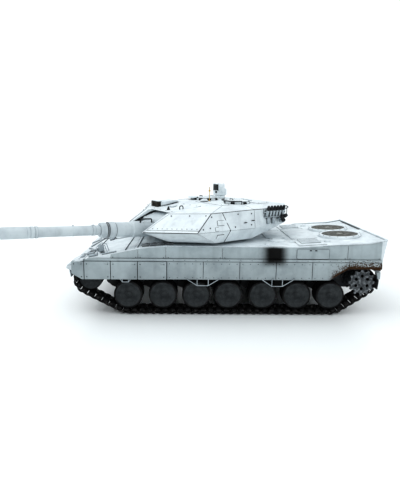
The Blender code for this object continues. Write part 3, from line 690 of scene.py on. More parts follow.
def build_wheels():
    metal, rubber = wheel_shapes(WHEEL_RADIUS, 0.0026, 0.0125, 0.0052)
    disc, tyre = mesh_of("road_disc", metal, WHEEL), mesh_of("road_tyre", rubber, TYRE)
    metal, rubber = wheel_shapes(IDLER_RADIUS, 0.0014, 0.0115, 0.0058)
    guide, guide_rim = mesh_of("guide_disc", metal, WHEEL), mesh_of("guide_rim", rubber, TYRE)
    for side, word in HANDS:
        for number, x in enumerate(WHEEL_X, start=1):
            body, place = f"wheel_{word}_{number}", facing(x, side, AXLE_Z)
            set_down(f"wheel_disc_{word}_{number}", disc, body, place, "wheel_grey",
                [f"road_wheel_{word}_{number}"])
            set_down(f"wheel_tyre_{word}_{number}", tyre, body, place, "track")
        place = facing(IDLER_X, side, IDLER_Z)
        set_down(f"guide_disc_{word}", guide, f"idler_{word}", place, "wheel_grey", [f"idler_{word}"])
        set_down(f"guide_rim_{word}", guide_rim, f"idler_{word}", place, "track")


def toothed_disc(low, high, holes, hole_radius, hole_reach, inner):
    """A toothed ring with a round middle and a ring of round holes, between two heights along Y."""
    shape = bmesh.new()
    outline = []
    for tooth in range(TEETH):
        for share, radius in ((-0.34, DRUM_RADIUS), (-0.26, DRUM_RADIUS + 0.0008),
                (-0.13, TOOTH_TIP_RADIUS - 0.0004), (-0.07, TOOTH_TIP_RADIUS), (0.07, TOOTH_TIP_RADIUS),
                (0.13, TOOTH_TIP_RADIUS - 0.0004), (0.26, DRUM_RADIUS + 0.0008), (0.34, DRUM_RADIUS)):
            angle = 2.0 * pi * (tooth + share) / TEETH
            outline.append((radius * cos(angle), radius * sin(angle)))
    loops = [outline, oval(24, inner, inner)]
    for turn in turns(holes, 0.5):
        x, z = hole_reach * cos(turn), hole_reach * sin(turn)
        loops.append([(x + a, z + b) for a, b in oval(12, hole_radius, hole_radius)])
    edges = []
    for loop in loops:
        verts = [shape.verts.new((x, low, z)) for x, z in loop]
        edges += [shape.edges.new((verts[i - 1], verts[i])) for i in range(len(verts))]
    bmesh.ops.triangle_fill(shape, use_beauty=True, use_dissolve=False, edges=edges)
    made = bmesh.ops.extrude_face_region(shape, geom=shape.faces[:])
    moved = [part for part in made["geom"] if isinstance(part, bmesh.types.BMVert)]
    bmesh.ops.translate(shape, vec=(0.0, high - low, 0.0), verts=moved)
    return shape


def build_sprockets():
    outer, inner = 0.0192, 0.0173
    shapes = []
    for low, high in ((-outer, -inner), (inner, outer)):
        shapes.append(toothed_disc(low, high, 6, 0.0024, 0.0098, 0.0052))
    shapes.append(turned([(DRUM_RADIUS - 0.0012, -inner), (DRUM_RADIUS - 0.0002, -inner + 0.0006),
        (DRUM_RADIUS - 0.0002, inner - 0.0006), (DRUM_RADIUS - 0.0012, inner), (DRUM_RADIUS - 0.003, inner),
        (DRUM_RADIUS - 0.003, -inner)], 40))
    hub = [(0.0, -outer - 0.0014), (0.0026, -outer - 0.0014), (0.0034, -outer - 0.0008),
        (0.0056, -outer - 0.0006), (0.0062, -outer), (0.0062, -outer + 0.003), (0.005, -outer + 0.004),
        (0.005, inner - 0.001), (0.0, inner - 0.001)]
    shapes.append(turned(hub, 32))
    ring = [(DRUM_RADIUS - 0.004, -outer - 0.0004), (DRUM_RADIUS - 0.001, -outer - 0.0004),
        (DRUM_RADIUS - 0.0007, -outer + 0.0002), (DRUM_RADIUS - 0.0043, -outer + 0.0002)]
    shapes.append(turned(ring, 40))
    reach = DRUM_RADIUS - 0.0025
    for angle in turns(12):
        shapes.append(bolt((reach * cos(angle), -outer - 0.0003, reach * sin(angle)), (0, -1, 0), 0.0008))
    for angle in turns(8):
        shapes.append(bolt((0.0046 * cos(angle), -outer - 0.0005, 0.0046 * sin(angle)), (0, -1, 0), 0.0005))
    wheel = mesh_of("sprocket", shapes, SPROCKET_STEEL)
    for side, word in HANDS:
        set_down(f"drive_wheel_{word}", wheel, f"sprocket_{word}", facing(SPROCKET_X, side, SPROCKET_Z),
            "sprocket_grey", [f"sprocket_{word}"])


def build_suspension():
    """Return rollers, dampers and bump stops on the tub's sides; the CAD swing arms keep their shape."""
    for side, word in HANDS:
        for number in range(1, 8):
            repaint(f"swing_arm_{word}_{number}", ARM, 0.0005)
    rollers, stops = [], []
    for x in (-0.127, -0.0265, 0.026, 0.128):
        for low, high in ((0.076, 0.0825), (0.0915, 0.098)):
            rollers.append(turned([(0.0, low), (0.0046, low), (0.0052, low + 0.0006), (0.0052, high - 0.0006),
                (0.0046, high), (0.002, high), (0.002, high + 0.0006), (0.0, high + 0.0006)], 24, "Y",
                (x, 0.0, ROLLER_Z)))
        rollers.append(turned(rod(0.0022, 0.06, 0.098), 16, "Y", (x, 0.0, ROLLER_Z)))
    for x in WHEEL_X:
        stops.append(prism([(x - 0.008, 0.056), (x - 0.002, 0.056), (x - 0.0035, 0.05), (x - 0.0065, 0.05)],
            0.0612, 0.07, 0.0006))
    for x in (WHEEL_X[0] - ARM_REACH, WHEEL_X[1] - ARM_REACH, WHEEL_X[-1] - ARM_REACH):
        stops.append(turned([(0.0, 0.0612), (0.0062, 0.0612), (0.0062, 0.069), (0.005, 0.07), (0.0, 0.07)],
            24, "Y", (x, 0.0, 0.052)))
    front = [turned(rod(0.0024, 0.07, 0.093), 16, "Y", (-0.18, 0.0, 0.052))]
    front.append(turned([(0.0, 0.092), (0.0052, 0.092), (0.006, 0.093), (0.006, 0.0975), (0.0048, 0.0985),
        (0.003, 0.0975), (0.0, 0.0975)], 28, "Y", (-0.18, 0.0, 0.052)))
    piece("return_rollers", mirrored(rollers), TYRE, "hull", slot="wheel_grey")
    piece("bump_stops", mirrored(stops + front), ARM, "hull", slot="arm_metal")


# ---------------------------------------------------------------- hull

HEAVY_JOINTS = (-0.234, -0.2153, -0.1768, -0.1374, -0.095)
THIN_JOINTS = (-0.095, -0.0411, 0.0128, 0.0667, 0.1206, 0.1745, 0.2245)
SKIRT_FOOT, SKIRT_TOP = 0.057, 0.0837


def outer_bolts(points, y, radius=0.0006):
    return [bolt((x, y, z), (0.0, 1.0, 0.0), radius, 0.0006) for x, z in points]


def build_skirts():
    """Side skirts in modules with gaps between them, bolts along both edges and folding step brackets."""
    half_gap = 0.0003
    heavy, thin, bolts, steps = [], [], [], []
    for start, end in zip(HEAVY_JOINTS, HEAVY_JOINTS[1:]):
        a, b = start + half_gap, end - half_gap
        outline = [(a, SKIRT_FOOT), (b, SKIRT_FOOT), (b, SKIRT_TOP), (a, SKIRT_TOP)]
        if start == HEAVY_JOINTS[0]:
            outline = [(-0.219, SKIRT_FOOT), (b, SKIRT_FOOT), (b, SKIRT_TOP), (a, SKIRT_TOP), (a, 0.0655)]
        heavy.append(prism(outline, 0.1086, 0.1169, 0.0008))
        inset = 0.0036
        spots = [(a + inset, SKIRT_TOP - 0.0035), (b - inset, SKIRT_TOP - 0.0035)]
        spots += [(a + inset, SKIRT_FOOT + 0.004), (b - inset, SKIRT_FOOT + 0.004)]
        if start == HEAVY_JOINTS[0]:
            spots = spots[:2] + spots[3:]
        bolts += outer_bolts(spots, 0.1169, 0.0008)
        heavy.append(box((0.005, 0.0014, 0.0026), (b - 0.006, 0.1172, SKIRT_TOP - 0.0022), bevel=0.0004))
    arch = {4: [(0.1475, SKIRT_FOOT), (0.1742, 0.0743)], 5: [(0.1748, 0.0745), (0.2245, 0.074)]}
    for number, (start, end) in enumerate(zip(THIN_JOINTS, THIN_JOINTS[1:])):
        a, b = start + half_gap, end - half_gap
        foot = arch.get(number, [(a, SKIRT_FOOT), (b, SKIRT_FOOT)])
        if number == 4:
            foot = [(a, SKIRT_FOOT)] + foot
        thin.append(prism(foot + [(b, SKIRT_TOP), (a, SKIRT_TOP)], 0.1116, 0.1142, 0.0004))
        for k in range(5):
            x = a + 0.004 + (b - a - 0.008) * k / 4
            spots = [(x, SKIRT_TOP - 0.003)]
            if x < 0.145:
                spots.append((x, SKIRT_FOOT + 0.0028))
            bolts += outer_bolts(spots, 0.1141)
    lip = [(-0.0945, SKIRT_FOOT + 0.0001), (0.147, SKIRT_FOOT + 0.0001), (0.1741, 0.0744), (0.224, 0.0741)]
    thin.append(tube([(x, 0.1139, z + 0.0004) for x, z in lip], 0.0006, 8))
    for left, up_left, up_right, right, foot in ((-0.065, -0.05, -0.0335, -0.018, 0.048),
            (0.046, 0.061, 0.0766, 0.093, 0.0475), (-0.164, -0.16, -0.151, -0.147, 0.053)):
        y = 0.115
        steps.append(tube([(left, y, 0.0588), (left + 0.001, y, 0.057), (up_left, y, foot),
            (up_right, y, foot), (right - 0.001, y, 0.057), (right, y, 0.0588)], 0.0007, 8))
        for x in (up_left, up_right):
            steps.append(tube([(x, y, foot), (x, y, 0.0585)], 0.0007, 8))
    both_sides([
        ("heavy_skirt", heavy, SHADED_WHITE, "side_paint", "skirt"),
        ("thin_skirt", thin, SHADED_WHITE, "side_paint", None),
        ("skirt_bolts", bolts, DARK, "side_paint", None),
        ("skirt_steps", steps, FITTINGS, "side_paint", None),
    ], "hull", HULL)


DECK_LINE = ((-0.238, 0.077), (-0.217, 0.086), (-0.135, 0.103), (-0.096, 0.1065), (0.1, 0.1065),
    (0.145, 0.1095), (0.2035, 0.112), (0.23, 0.117))


def deck_height(x):
    """The height of the upper hull's top surface at x."""
    for (x0, z0), (x1, z1) in zip(DECK_LINE, DECK_LINE[1:]):
        if x <= x1:
            return z0 + (z1 - z0) * (x - x0) / (x1 - x0)
    return DECK_LINE[-1][1]


def on_deck(x, y, lift=0.0):
    """A place on the top surface, with its own z square to the surface."""
    slope = atan2(deck_height(x + 0.002) - deck_height(x - 0.002), 0.004)
    place = Matrix.Translation((x, y, deck_height(x))) @ Matrix.Rotation(-slope, 4, "Y")
    return place @ Matrix.Translation((0.0, 0.0, lift))


def deck_box(size, x, y, lift=0.0, spin=0.0, bevel=0.0005):
    shape = box(size, (0.0, 0.0, size[2] / 2.0), bevel=bevel)
    shape.transform(on_deck(x, y, lift) @ Matrix.Rotation(spin, 4, "Z"))
    return shape


def deck_disc(profile, x, y, steps=32):
    shape = turned(profile, steps, "Z")
    shape.transform(on_deck(x, y))
    return shape


def build_hull_sides():
    """Plates on the sides above the tracks, the double fender line and the hatch in the side."""
    plates, trim, bolts = [], [], []
    joints = (-0.177, -0.137, -0.096, -0.013, 0.172, 0.2225)
    for start, end in zip(joints, joints[1:]):
        a, b = start + 0.0004, end - 0.0004
        middle = [(x, z - 0.0009) for x, z in DECK_LINE if a < x < b]
        outline = [(a, 0.0884), (b, 0.0884), (b, deck_height(b) - 0.0009)] + middle[::-1]
        outline.append((a, deck_height(a) - 0.0009))
        plates.append(prism(outline, 0.1112, 0.1128, 0.0003))
        bolts += outer_bolts([(x, 0.0898) for x in (a + 0.003, b - 0.003)], 0.1127)
    plates.append(prism([(-0.218, 0.0842), (0.224, 0.0842), (0.2236, 0.088), (-0.21, 0.088)], 0.11, 0.1146,
        0.0005))
    for k in range(19):
        x = -0.085 + 0.0165 * k
        bolts += outer_bolts([(x, 0.0861)], 0.1145, 0.0005)
    frame_line = [(0.098, 0.089), (0.143, 0.089), (0.1445, 0.0905), (0.1445, 0.1025), (0.143, 0.104),
        (0.098, 0.104), (0.0965, 0.1025), (0.0965, 0.0905)]
    plates.append(prism(frame_line, 0.112, 0.1136, 0.0003))
    for x in (0.1165, 0.1245):
        trim.append(box((0.003, 0.0012, 0.0014), (x, 0.1138, 0.1018), bevel=0.0003))
    trim.append(tube([(x, 0.1134, z) for x, z in frame_line], 0.00022, 6, closed=True))
    piece("side_plates", mirrored(plates), SHADED_WHITE, "hull", slot="side_paint")
    piece("side_trim", mirrored(trim), DARK, "hull", slot="dark_trim")
    piece("side_bolts", mirrored(bolts), DARK, "hull", slot="dark_trim")


def build_front():
    """Mudguards, headlights with guards, tow cables and shackles, and what stands on the sloping front."""
    guards, dark, grey, lamps, cable = [], [], [], [], []
    guard = [(-0.216, 0.0846), (-0.216, 0.087), (-0.229, 0.0838), (-0.24, 0.0785), (-0.2412, 0.0735),
        (-0.2398, 0.0735), (-0.2385, 0.077), (-0.2285, 0.0818)]
    guards.append(prism(guard, 0.064, 0.1165, 0.0004))
    guards.append(prism([(-0.22, 0.085), (-0.239, 0.0768), (-0.2405, 0.073), (-0.233, 0.07)], 0.115, 0.1166,
        0.0004))
    guards.append(prism([(-0.2398, 0.074), (-0.2384, 0.074), (-0.236, 0.058), (-0.2374, 0.058)], 0.07, 0.108,
        0.0004))
    for y in (0.072, 0.09, 0.108):
        grey.append(bolt((-0.2235, y, 0.0853), (-0.2, 0.0, 1.0), 0.0009))
    # Headlights
    place = on_deck(-0.193, 0.086)
    body = turned([(0.0, 0.003), (0.0046, 0.003), (0.0052, 0.0018), (0.0056, -0.003), (0.005, -0.0036),
        (0.0046, -0.003), (0.0046, -0.0022), (0.0, -0.0022)], 28, "X", (0.0, 0.0, 0.0068))
    body.transform(place)
    grey.append(body)
    lens = turned([(0.0, -0.0034), (0.0024, -0.0032), (0.0045, -0.0024), (0.0045, -0.0018), (0.0, -0.0018)],
        28, "X", (0.0, 0.0, 0.0068))
    lens.transform(place)
    lamps.append(lens)
    grey.append(deck_box((0.006, 0.004, 0.003), -0.193, 0.086))
    guard_bars = [[(-0.006, y, 0.0), (-0.0062, y, 0.011), (0.0, y, 0.0138), (0.007, y, 0.011),
        (0.0085, y, 0.0)] for y in (-0.0075, 0.0075)]
    guard_bars += [[(x, -0.0075, z), (x, 0.0075, z)] for x, z in ((-0.0061, 0.0075), (0.0, 0.0138))]
    for line in guard_bars:
        bar = tube(line, 0.0006)
        bar.transform(place)
        grey.append(bar)
    # Tow cable loops on the front edge, with their shackles
    path = []
    for share in (k / 28.0 for k in range(29)):
        x = -0.229 + 0.013 * sin(pi * share)
        y = 0.098 - 0.09 * share
        path.append(on_deck(x, y) @ Vector((0.0, 0.0, 0.0013)))
    cable.append(tube(path, 0.0011, 8))
    for x, y in ((-0.229, 0.07), (-0.224, 0.098), (-0.21, 0.056)):
        loop = tube([(a, b, 0.0014) for a, b in oval(14, 0.0042, 0.003)], 0.0009, 8, closed=True)
        loop.transform(on_deck(x, y))
        dark.append(loop)
        dark.append(deck_box((0.007, 0.0028, 0.003), x + 0.004, y))
    for x, y, size in ((-0.212, 0.08, (0.011, 0.006, 0.0026)), (-0.204, 0.103, (0.013, 0.0045, 0.0034)),
            (-0.221, 0.088, (0.006, 0.005, 0.003)), (-0.18, 0.104, (0.022, 0.003, 0.002)),
            (-0.199, 0.068, (0.008, 0.005, 0.0028))):
        dark.append(deck_box(size, x, y))
    # Rails and bolts across the glacis
    for x in (-0.208, -0.156, -0.138):
        grey.append(deck_box((0.0012, 0.208, 0.0012), x, 0.0, bevel=0.0003))
    for k in range(9):
        grey.append(deck_bolt(-0.203, 0.01 + 0.0115 * k))
        grey.append(deck_bolt(-0.143, 0.01 + 0.0115 * k))
    # Spare links in a rack on the left, above the track
    rack = []
    for k in range(4):
        rack.append(deck_box((0.01, 0.013, 0.002), -0.1265 + 0.0118 * k, -0.095, bevel=0.0008))
        rack.append(deck_box((0.004, 0.015, 0.0009), -0.1265 + 0.0118 * k, -0.095, 0.0018, bevel=0.0003))
    rack.append(deck_box((0.05, 0.0012, 0.0009), -0.109, -0.0875, 0.0012))
    rack.append(deck_box((0.05, 0.0012, 0.0009), -0.109, -0.102, 0.0012))
    piece("mudguards", mirrored(guards), WHITE, "hull", slot="white_paint")
    piece("front_shackles", mirrored(dark), FITTINGS, "hull", slot="dark_trim")
    piece("front_fittings", mirrored(grey), FITTINGS, "hull", slot="dark_trim")
    piece("headlight_lenses", mirrored(lamps), LENS, "hull", slot="bare_metal")
    piece("tow_cables", mirrored(cable), FITTINGS, "hull", slot="bare_metal")
    piece("spare_link_rack", rack, GREY_TRIM, "hull", slot="track")
    # Driver's periscopes in front of the lid, on the right
    scopes, eyes = [], []
    for y, spin in ((0.027, -0.45), (0.04, 0.0), (0.053, 0.45)):
        scopes.append(deck_box((0.005, 0.01, 0.004), -0.196, y, spin=spin, bevel=0.0008))
        eye = box((0.0006, 0.0076, 0.002), (-0.0026, 0.0, 0.0022), bevel=0.0002)
        eye.transform(on_deck(-0.196, y) @ Matrix.Rotation(spin, 4, "Z"))
        eyes.append(eye)
    piece("driver_periscopes", scopes, FITTINGS, "hull", slot="dark_trim")
    piece("driver_periscope_glass", eyes, GLASS, "hull", slot="black_plastic")
    handle = tube([(-0.005, 0.0, 0.001), (-0.0048, 0.0, 0.0034), (0.0048, 0.0, 0.0034), (0.005, 0.0, 0.001)],
        0.0006)
    handle.transform(on_deck(-0.173, 0.04, 0.0006))
    piece("driver_hatch_handle", handle, GREY_TRIM, "driver_hatch", slot="dark_trim")
    # The lower front plate: tow hooks and a row of bolts
    hooks = []
    for y in (0.03, 0.048):
        hook = tube([(0.0, a, b) for a, b in oval(16, 0.005, 0.0036)], 0.0011, 8, closed=True)
        hook.transform(Matrix.Translation((-0.2235, y, 0.06)))
        hooks.append(hook)
        hooks.append(box((0.006, 0.004, 0.006), (-0.223, y, 0.0645), bevel=0.0008))
    for k in range(6):
        hooks.append(bolt((-0.2306, 0.008 + 0.0085 * k, 0.07), (-1.0, 0.0, -0.3), 0.0008))
    piece("front_tow_hooks", mirrored(hooks), GREY_TRIM, "hull", slot="dark_trim")


def deck_bolt(x, y, radius=0.0007):
    place = on_deck(x, y)
    return bolt(place.translation, place.to_3x3() @ Vector((0.0, 0.0, 1.0)), radius)


def build_deck():
    """Rear deck: cooling fans with wire mesh, hatches, filler caps, louvres, plates and tools."""
    mesh_wires, rims, plates, dark, bolts = [], [], [], [], []
    pitch = 0.0022
    for side in (-1, 1):
        centre = on_deck(FAN_X, side * FAN_Y)
        inner = FAN_RADIUS - 0.0034
        count = int(inner / pitch)
        for k in range(-count, count + 1):
            half = sqrt(max(inner ** 2 - (k * pitch) ** 2, 0.0))
            if half < 0.003:
                continue
            for across in (True, False):
                size = (2 * half, 0.0006, 0.0005) if across else (0.0006, 2 * half, 0.0005)
                at = (0.0, k * pitch, 0.0033) if across else (k * pitch, 0.0, 0.003)
                wire = box(size, at, bevel=0.0001, segments=1)
                wire.transform(centre)
                mesh_wires.append(wire)
        for k in range(6):
            spoke = box((inner, 0.0016, 0.0008), (inner / 2, 0.0, 0.0026), bevel=0.0002)
            spoke.transform(centre @ Matrix.Rotation(pi * k / 3.0, 4, "Z"))
            mesh_wires.append(spoke)
        rim = turned([(FAN_RADIUS - 0.0036, 0.002), (FAN_RADIUS - 0.003, 0.004),
            (FAN_RADIUS - 0.0006, 0.0042), (FAN_RADIUS + 0.0016, 0.003), (FAN_RADIUS + 0.0024, 0.0),
            (FAN_RADIUS + 0.0004, -0.0004)], 56, "Z")
        rim.transform(centre)
        rims.append(rim)
        hub = turned([(0.0, 0.0048), (0.003, 0.0046), (0.005, 0.0038), (0.0056, 0.0024), (0.0, 0.0024)], 28,
            "Z")
        hub.transform(centre)
        mesh_wires.append(hub)
    for angle in turns(16):
        x, y = FAN_X + (FAN_RADIUS + 0.0006) * cos(angle), FAN_Y + (FAN_RADIUS + 0.0006) * sin(angle)
        spot = on_deck(FAN_X, FAN_Y) @ Vector(((x - FAN_X), (y - FAN_Y), 0.0036))
        bolts.append(bolt(spot, (0.0, 0.0, 1.0), 0.0006))
    # Engine deck plates with gaps
    for x0, x1, y0, y1 in ((0.062, 0.098, -0.04, 0.04), (0.102, 0.143, -0.048, 0.048),
            (0.062, 0.098, 0.043, 0.104), (0.102, 0.143, 0.051, 0.104), (0.102, 0.143, -0.104, -0.051)):
        plates.append(deck_box((x1 - x0, y1 - y0, 0.001), (x0 + x1) / 2, (y0 + y1) / 2, bevel=0.0003))
        for x in (x0 + 0.003, x1 - 0.003):
            for y in (y0 + 0.003, (y0 + y1) / 2, y1 - 0.003):
                place = on_deck((x0 + x1) / 2, 0.0, 0.001)
                spot = place @ Vector((x - (x0 + x1) / 2, y, 0.0))
                plates.append(bolt(spot, (0.0, 0.0, 1.0), 0.0007))
    for side in (-1, 1):
        for k in range(7):
            plates.append(deck_box((0.03, 0.0022, 0.0018), 0.1225, side * (0.06 + 0.005 * k), 0.0009,
                bevel=0.0005))
    piece("fan_mesh", mesh_wires, MESH, "hull", slot="grille")
    piece("fan_rims", rims, WHITE, "hull", slot="white_paint")
    piece("fan_bolts", mirrored(bolts), GREY_TRIM, "hull", slot="dark_trim")
    # Round caps and small fittings
    cap = [(0.0, 0.0032), (0.006, 0.0032), (0.0064, 0.0026), (0.0112, 0.0026), (0.012, 0.0018),
        (0.0132, 0.0016), (0.0136, 0.0), (0.0, -0.0004)]
    cap_places = ((0.076, -0.06), (0.076, 0.074))
    plates += [deck_disc(cap, x, y) for x, y in cap_places]
    small = [(0.0, 0.0026), (0.0036, 0.0024), (0.0046, 0.0014), (0.005, 0.0), (0.0, -0.0004)]
    for x, y in ((0.098, -0.07), (0.093, -0.038), (0.15, -0.08), (0.15, 0.08), (0.056, -0.096),
            (0.056, 0.096)):
        plates.append(deck_disc(small, x, y, 24))
    for x, y in cap_places:
        grip = tube([(-0.01, 0.0, 0.0016), (-0.0098, 0.0, 0.0029), (-0.0072, 0.0, 0.0029),
            (-0.007, 0.0, 0.0016)], 0.0004)
        grip.transform(on_deck(x, y))
        dark.append(grip)
    # The dark edge along the rear of the deck
    dark.append(tube([on_deck(0.2265, y) @ Vector((0, 0, 0.001)) for y in (0.1, 0.05, 0.0)], 0.0005))
    piece("deck_plates", plates, WHITE, "hull", slot="white_paint")
    piece("deck_fittings_dark", dark, DARK, "hull", slot="dark_trim")
    # Raised side edges at the rear, and tools clipped on the right
    edges = []
    for side in (-1, 1):
        points = [(0.135, 0.1085), (0.2035, 0.1122), (0.2296, 0.1172), (0.2296, 0.119), (0.2035, 0.1146),
            (0.135, 0.1098)]
        low, high = sorted((side * 0.1106, side * 0.1126))
        edges.append(prism(points, low, high, 0.0003))
    edges.append(prism([(0.2286, 0.1168), (0.2304, 0.1172), (0.2302, 0.1192), (0.2286, 0.1188)], -0.112,
        0.112, 0.0003))
    piece("deck_edges", edges, WHITE, "hull", slot="white_paint")
    handles, heads = [], []
    for y, start, end in ((0.096, -0.07, 0.01), (0.101, -0.06, 0.02)):
        handles.append(tube([on_deck(x, y) @ Vector((0, 0, 0.0009)) for x in (start, end)], 0.0008))
        heads.append(deck_box((0.011, 0.006, 0.0014), end + 0.005, y, bevel=0.0004))
        for x in (start + 0.012, end - 0.012):
            heads.append(deck_box((0.0028, 0.0036, 0.0019), x, y, bevel=0.0005))
    piece("tool_handles", handles, BROWN, "hull", slot="dark_trim")
    piece("tool_heads", heads, BARE, "hull", slot="bare_metal")


def build_rear():
    """Rear plate: louvres, hooks, lights, stowage boxes, mudflaps and the brackets that hold them."""
    foot_x, foot_z, overhang, height = 0.2245, 0.084, 0.0055, 0.033
    lean = Matrix.Rotation(atan2(overhang, height), 4, "Y")

    def at_rear(z, y, out=0.0):
        share = (z - foot_z) / height
        return Vector((foot_x + overhang * share + out, y, z))

    white = [box((0.0026, 0.064, 0.023), at_rear(0.101, 0.056), lean, 0.0006)]
    dark = [box((0.0022, 0.054, 0.0012), at_rear(0.093 + 0.0023 * k, 0.056, 0.0012), lean, 0.0003)
        for k in range(8)]
    white.append(box((0.004, 0.026, 0.02), at_rear(0.1, 0.0), lean, 0.0008))
    grey = [box((0.005, 0.01, 0.007), at_rear(0.092, 0.096, 0.002), lean, 0.0008)]
    red = [box((0.0014, 0.007, 0.0024), at_rear(0.0938, 0.096, 0.0048), lean, 0.0004)]
    # Tow hooks and bolts on the tub's rear
    hook = tube([(0.0, a, b) for a, b in oval(16, 0.005, 0.004)], 0.0012, 8, closed=True)
    hook.transform(Matrix.Translation((0.2225, 0.042, 0.06)))
    grey.append(hook)
    grey.append(box((0.004, 0.005, 0.006), (0.2212, 0.042, 0.065), bevel=0.0006))
    for k in range(6):
        grey.append(bolt((0.2199, 0.008 + 0.009 * k, 0.078), (1.0, 0.0, 0.0), 0.0008))
    # Mudflap and its bracket
    dark.append(prism([(0.2165, 0.064), (0.2182, 0.064), (0.2234, 0.056), (0.2222, 0.042), (0.2205, 0.042),
        (0.2216, 0.0555)], 0.07, 0.1085, 0.0004))
    white.append(prism([(0.218, 0.069), (0.224, 0.069), (0.224, 0.058), (0.2205, 0.058)], 0.102, 0.111,
        0.0006))
    white.append(prism([(0.215, 0.07), (0.2243, 0.07), (0.2243, 0.0838), (0.215, 0.0838)], 0.064, 0.11,
        0.0005))
    piece("rear_plates", mirrored(white), SHADED_WHITE, "hull", slot="side_paint")
    piece("rear_louvres", mirrored(dark), DARK, "hull", slot="dark_trim")
    piece("rear_fittings", mirrored(grey), GREY_TRIM, "hull", slot="dark_trim")
    piece("tail_lights", mirrored(red), RED_LENS, "hull", slot="dark_trim")


# ---------------------------------------------------------------- turret

# Corners of the turret's left side, as (forward, left, height)
TIP, RIDGE = (0.16, 0.033, 0.1265), (0.109, 0.098, 0.13)
UPPER_IN, UPPER_OUT = (0.1185, 0.0375, 0.1515), (0.0809, 0.0906, 0.1553)
LOWER_IN, LOWER_OUT = (0.122, 0.042, 0.111), (0.069, 0.0856, 0.111)
SIDE_MID, SIDE_TOP, SIDE_LOW = (0.0, 0.093, 0.129), (0.0, 0.089, 0.157), (0.0, 0.085, 0.112)
REAR_LOW, REAR_TOP = (-0.072, 0.082, 0.132), (-0.072, 0.082, 0.156)
ROOF_IN, ROOF_FRONT, ROOF_REAR = (0.085, 0.032, 0.1545), (0.04, 0.062, 0.162), (-0.06, 0.065, 0.162)


def to_local(corner):
    """(forward, left, height) as turret coordinates, x backwards and y to the right."""
    return Vector((-corner[0], -corner[1], corner[2]))


def turret_skin(corners, thickness):
    """A plate on the turret, facing away from its middle whichever way its corners go round."""
    corners = [to_local(corner) for corner in corners]
    middle = sum(corners, Vector()) / len(corners)
    normal = (corners[1] - corners[0]).cross(corners[2] - corners[0])
    if normal.dot(middle - Vector((-0.02, 0.0, 0.135))) < 0.0:
        corners.reverse()
    return skin(corners, thickness)


def spot_on(corners, across, up, normal_out=0.0):
    """A point on a four-cornered patch and the patch's outward direction, in turret coordinates."""
    a, b, c, d = [to_local(corner) for corner in corners]
    low, high = a.lerp(b, across), d.lerp(c, across)
    normal = (b - a).cross(d - a).normalized()
    if normal.y > 0.0:
        normal = -normal
    return low.lerp(high, up) + normal * normal_out, normal


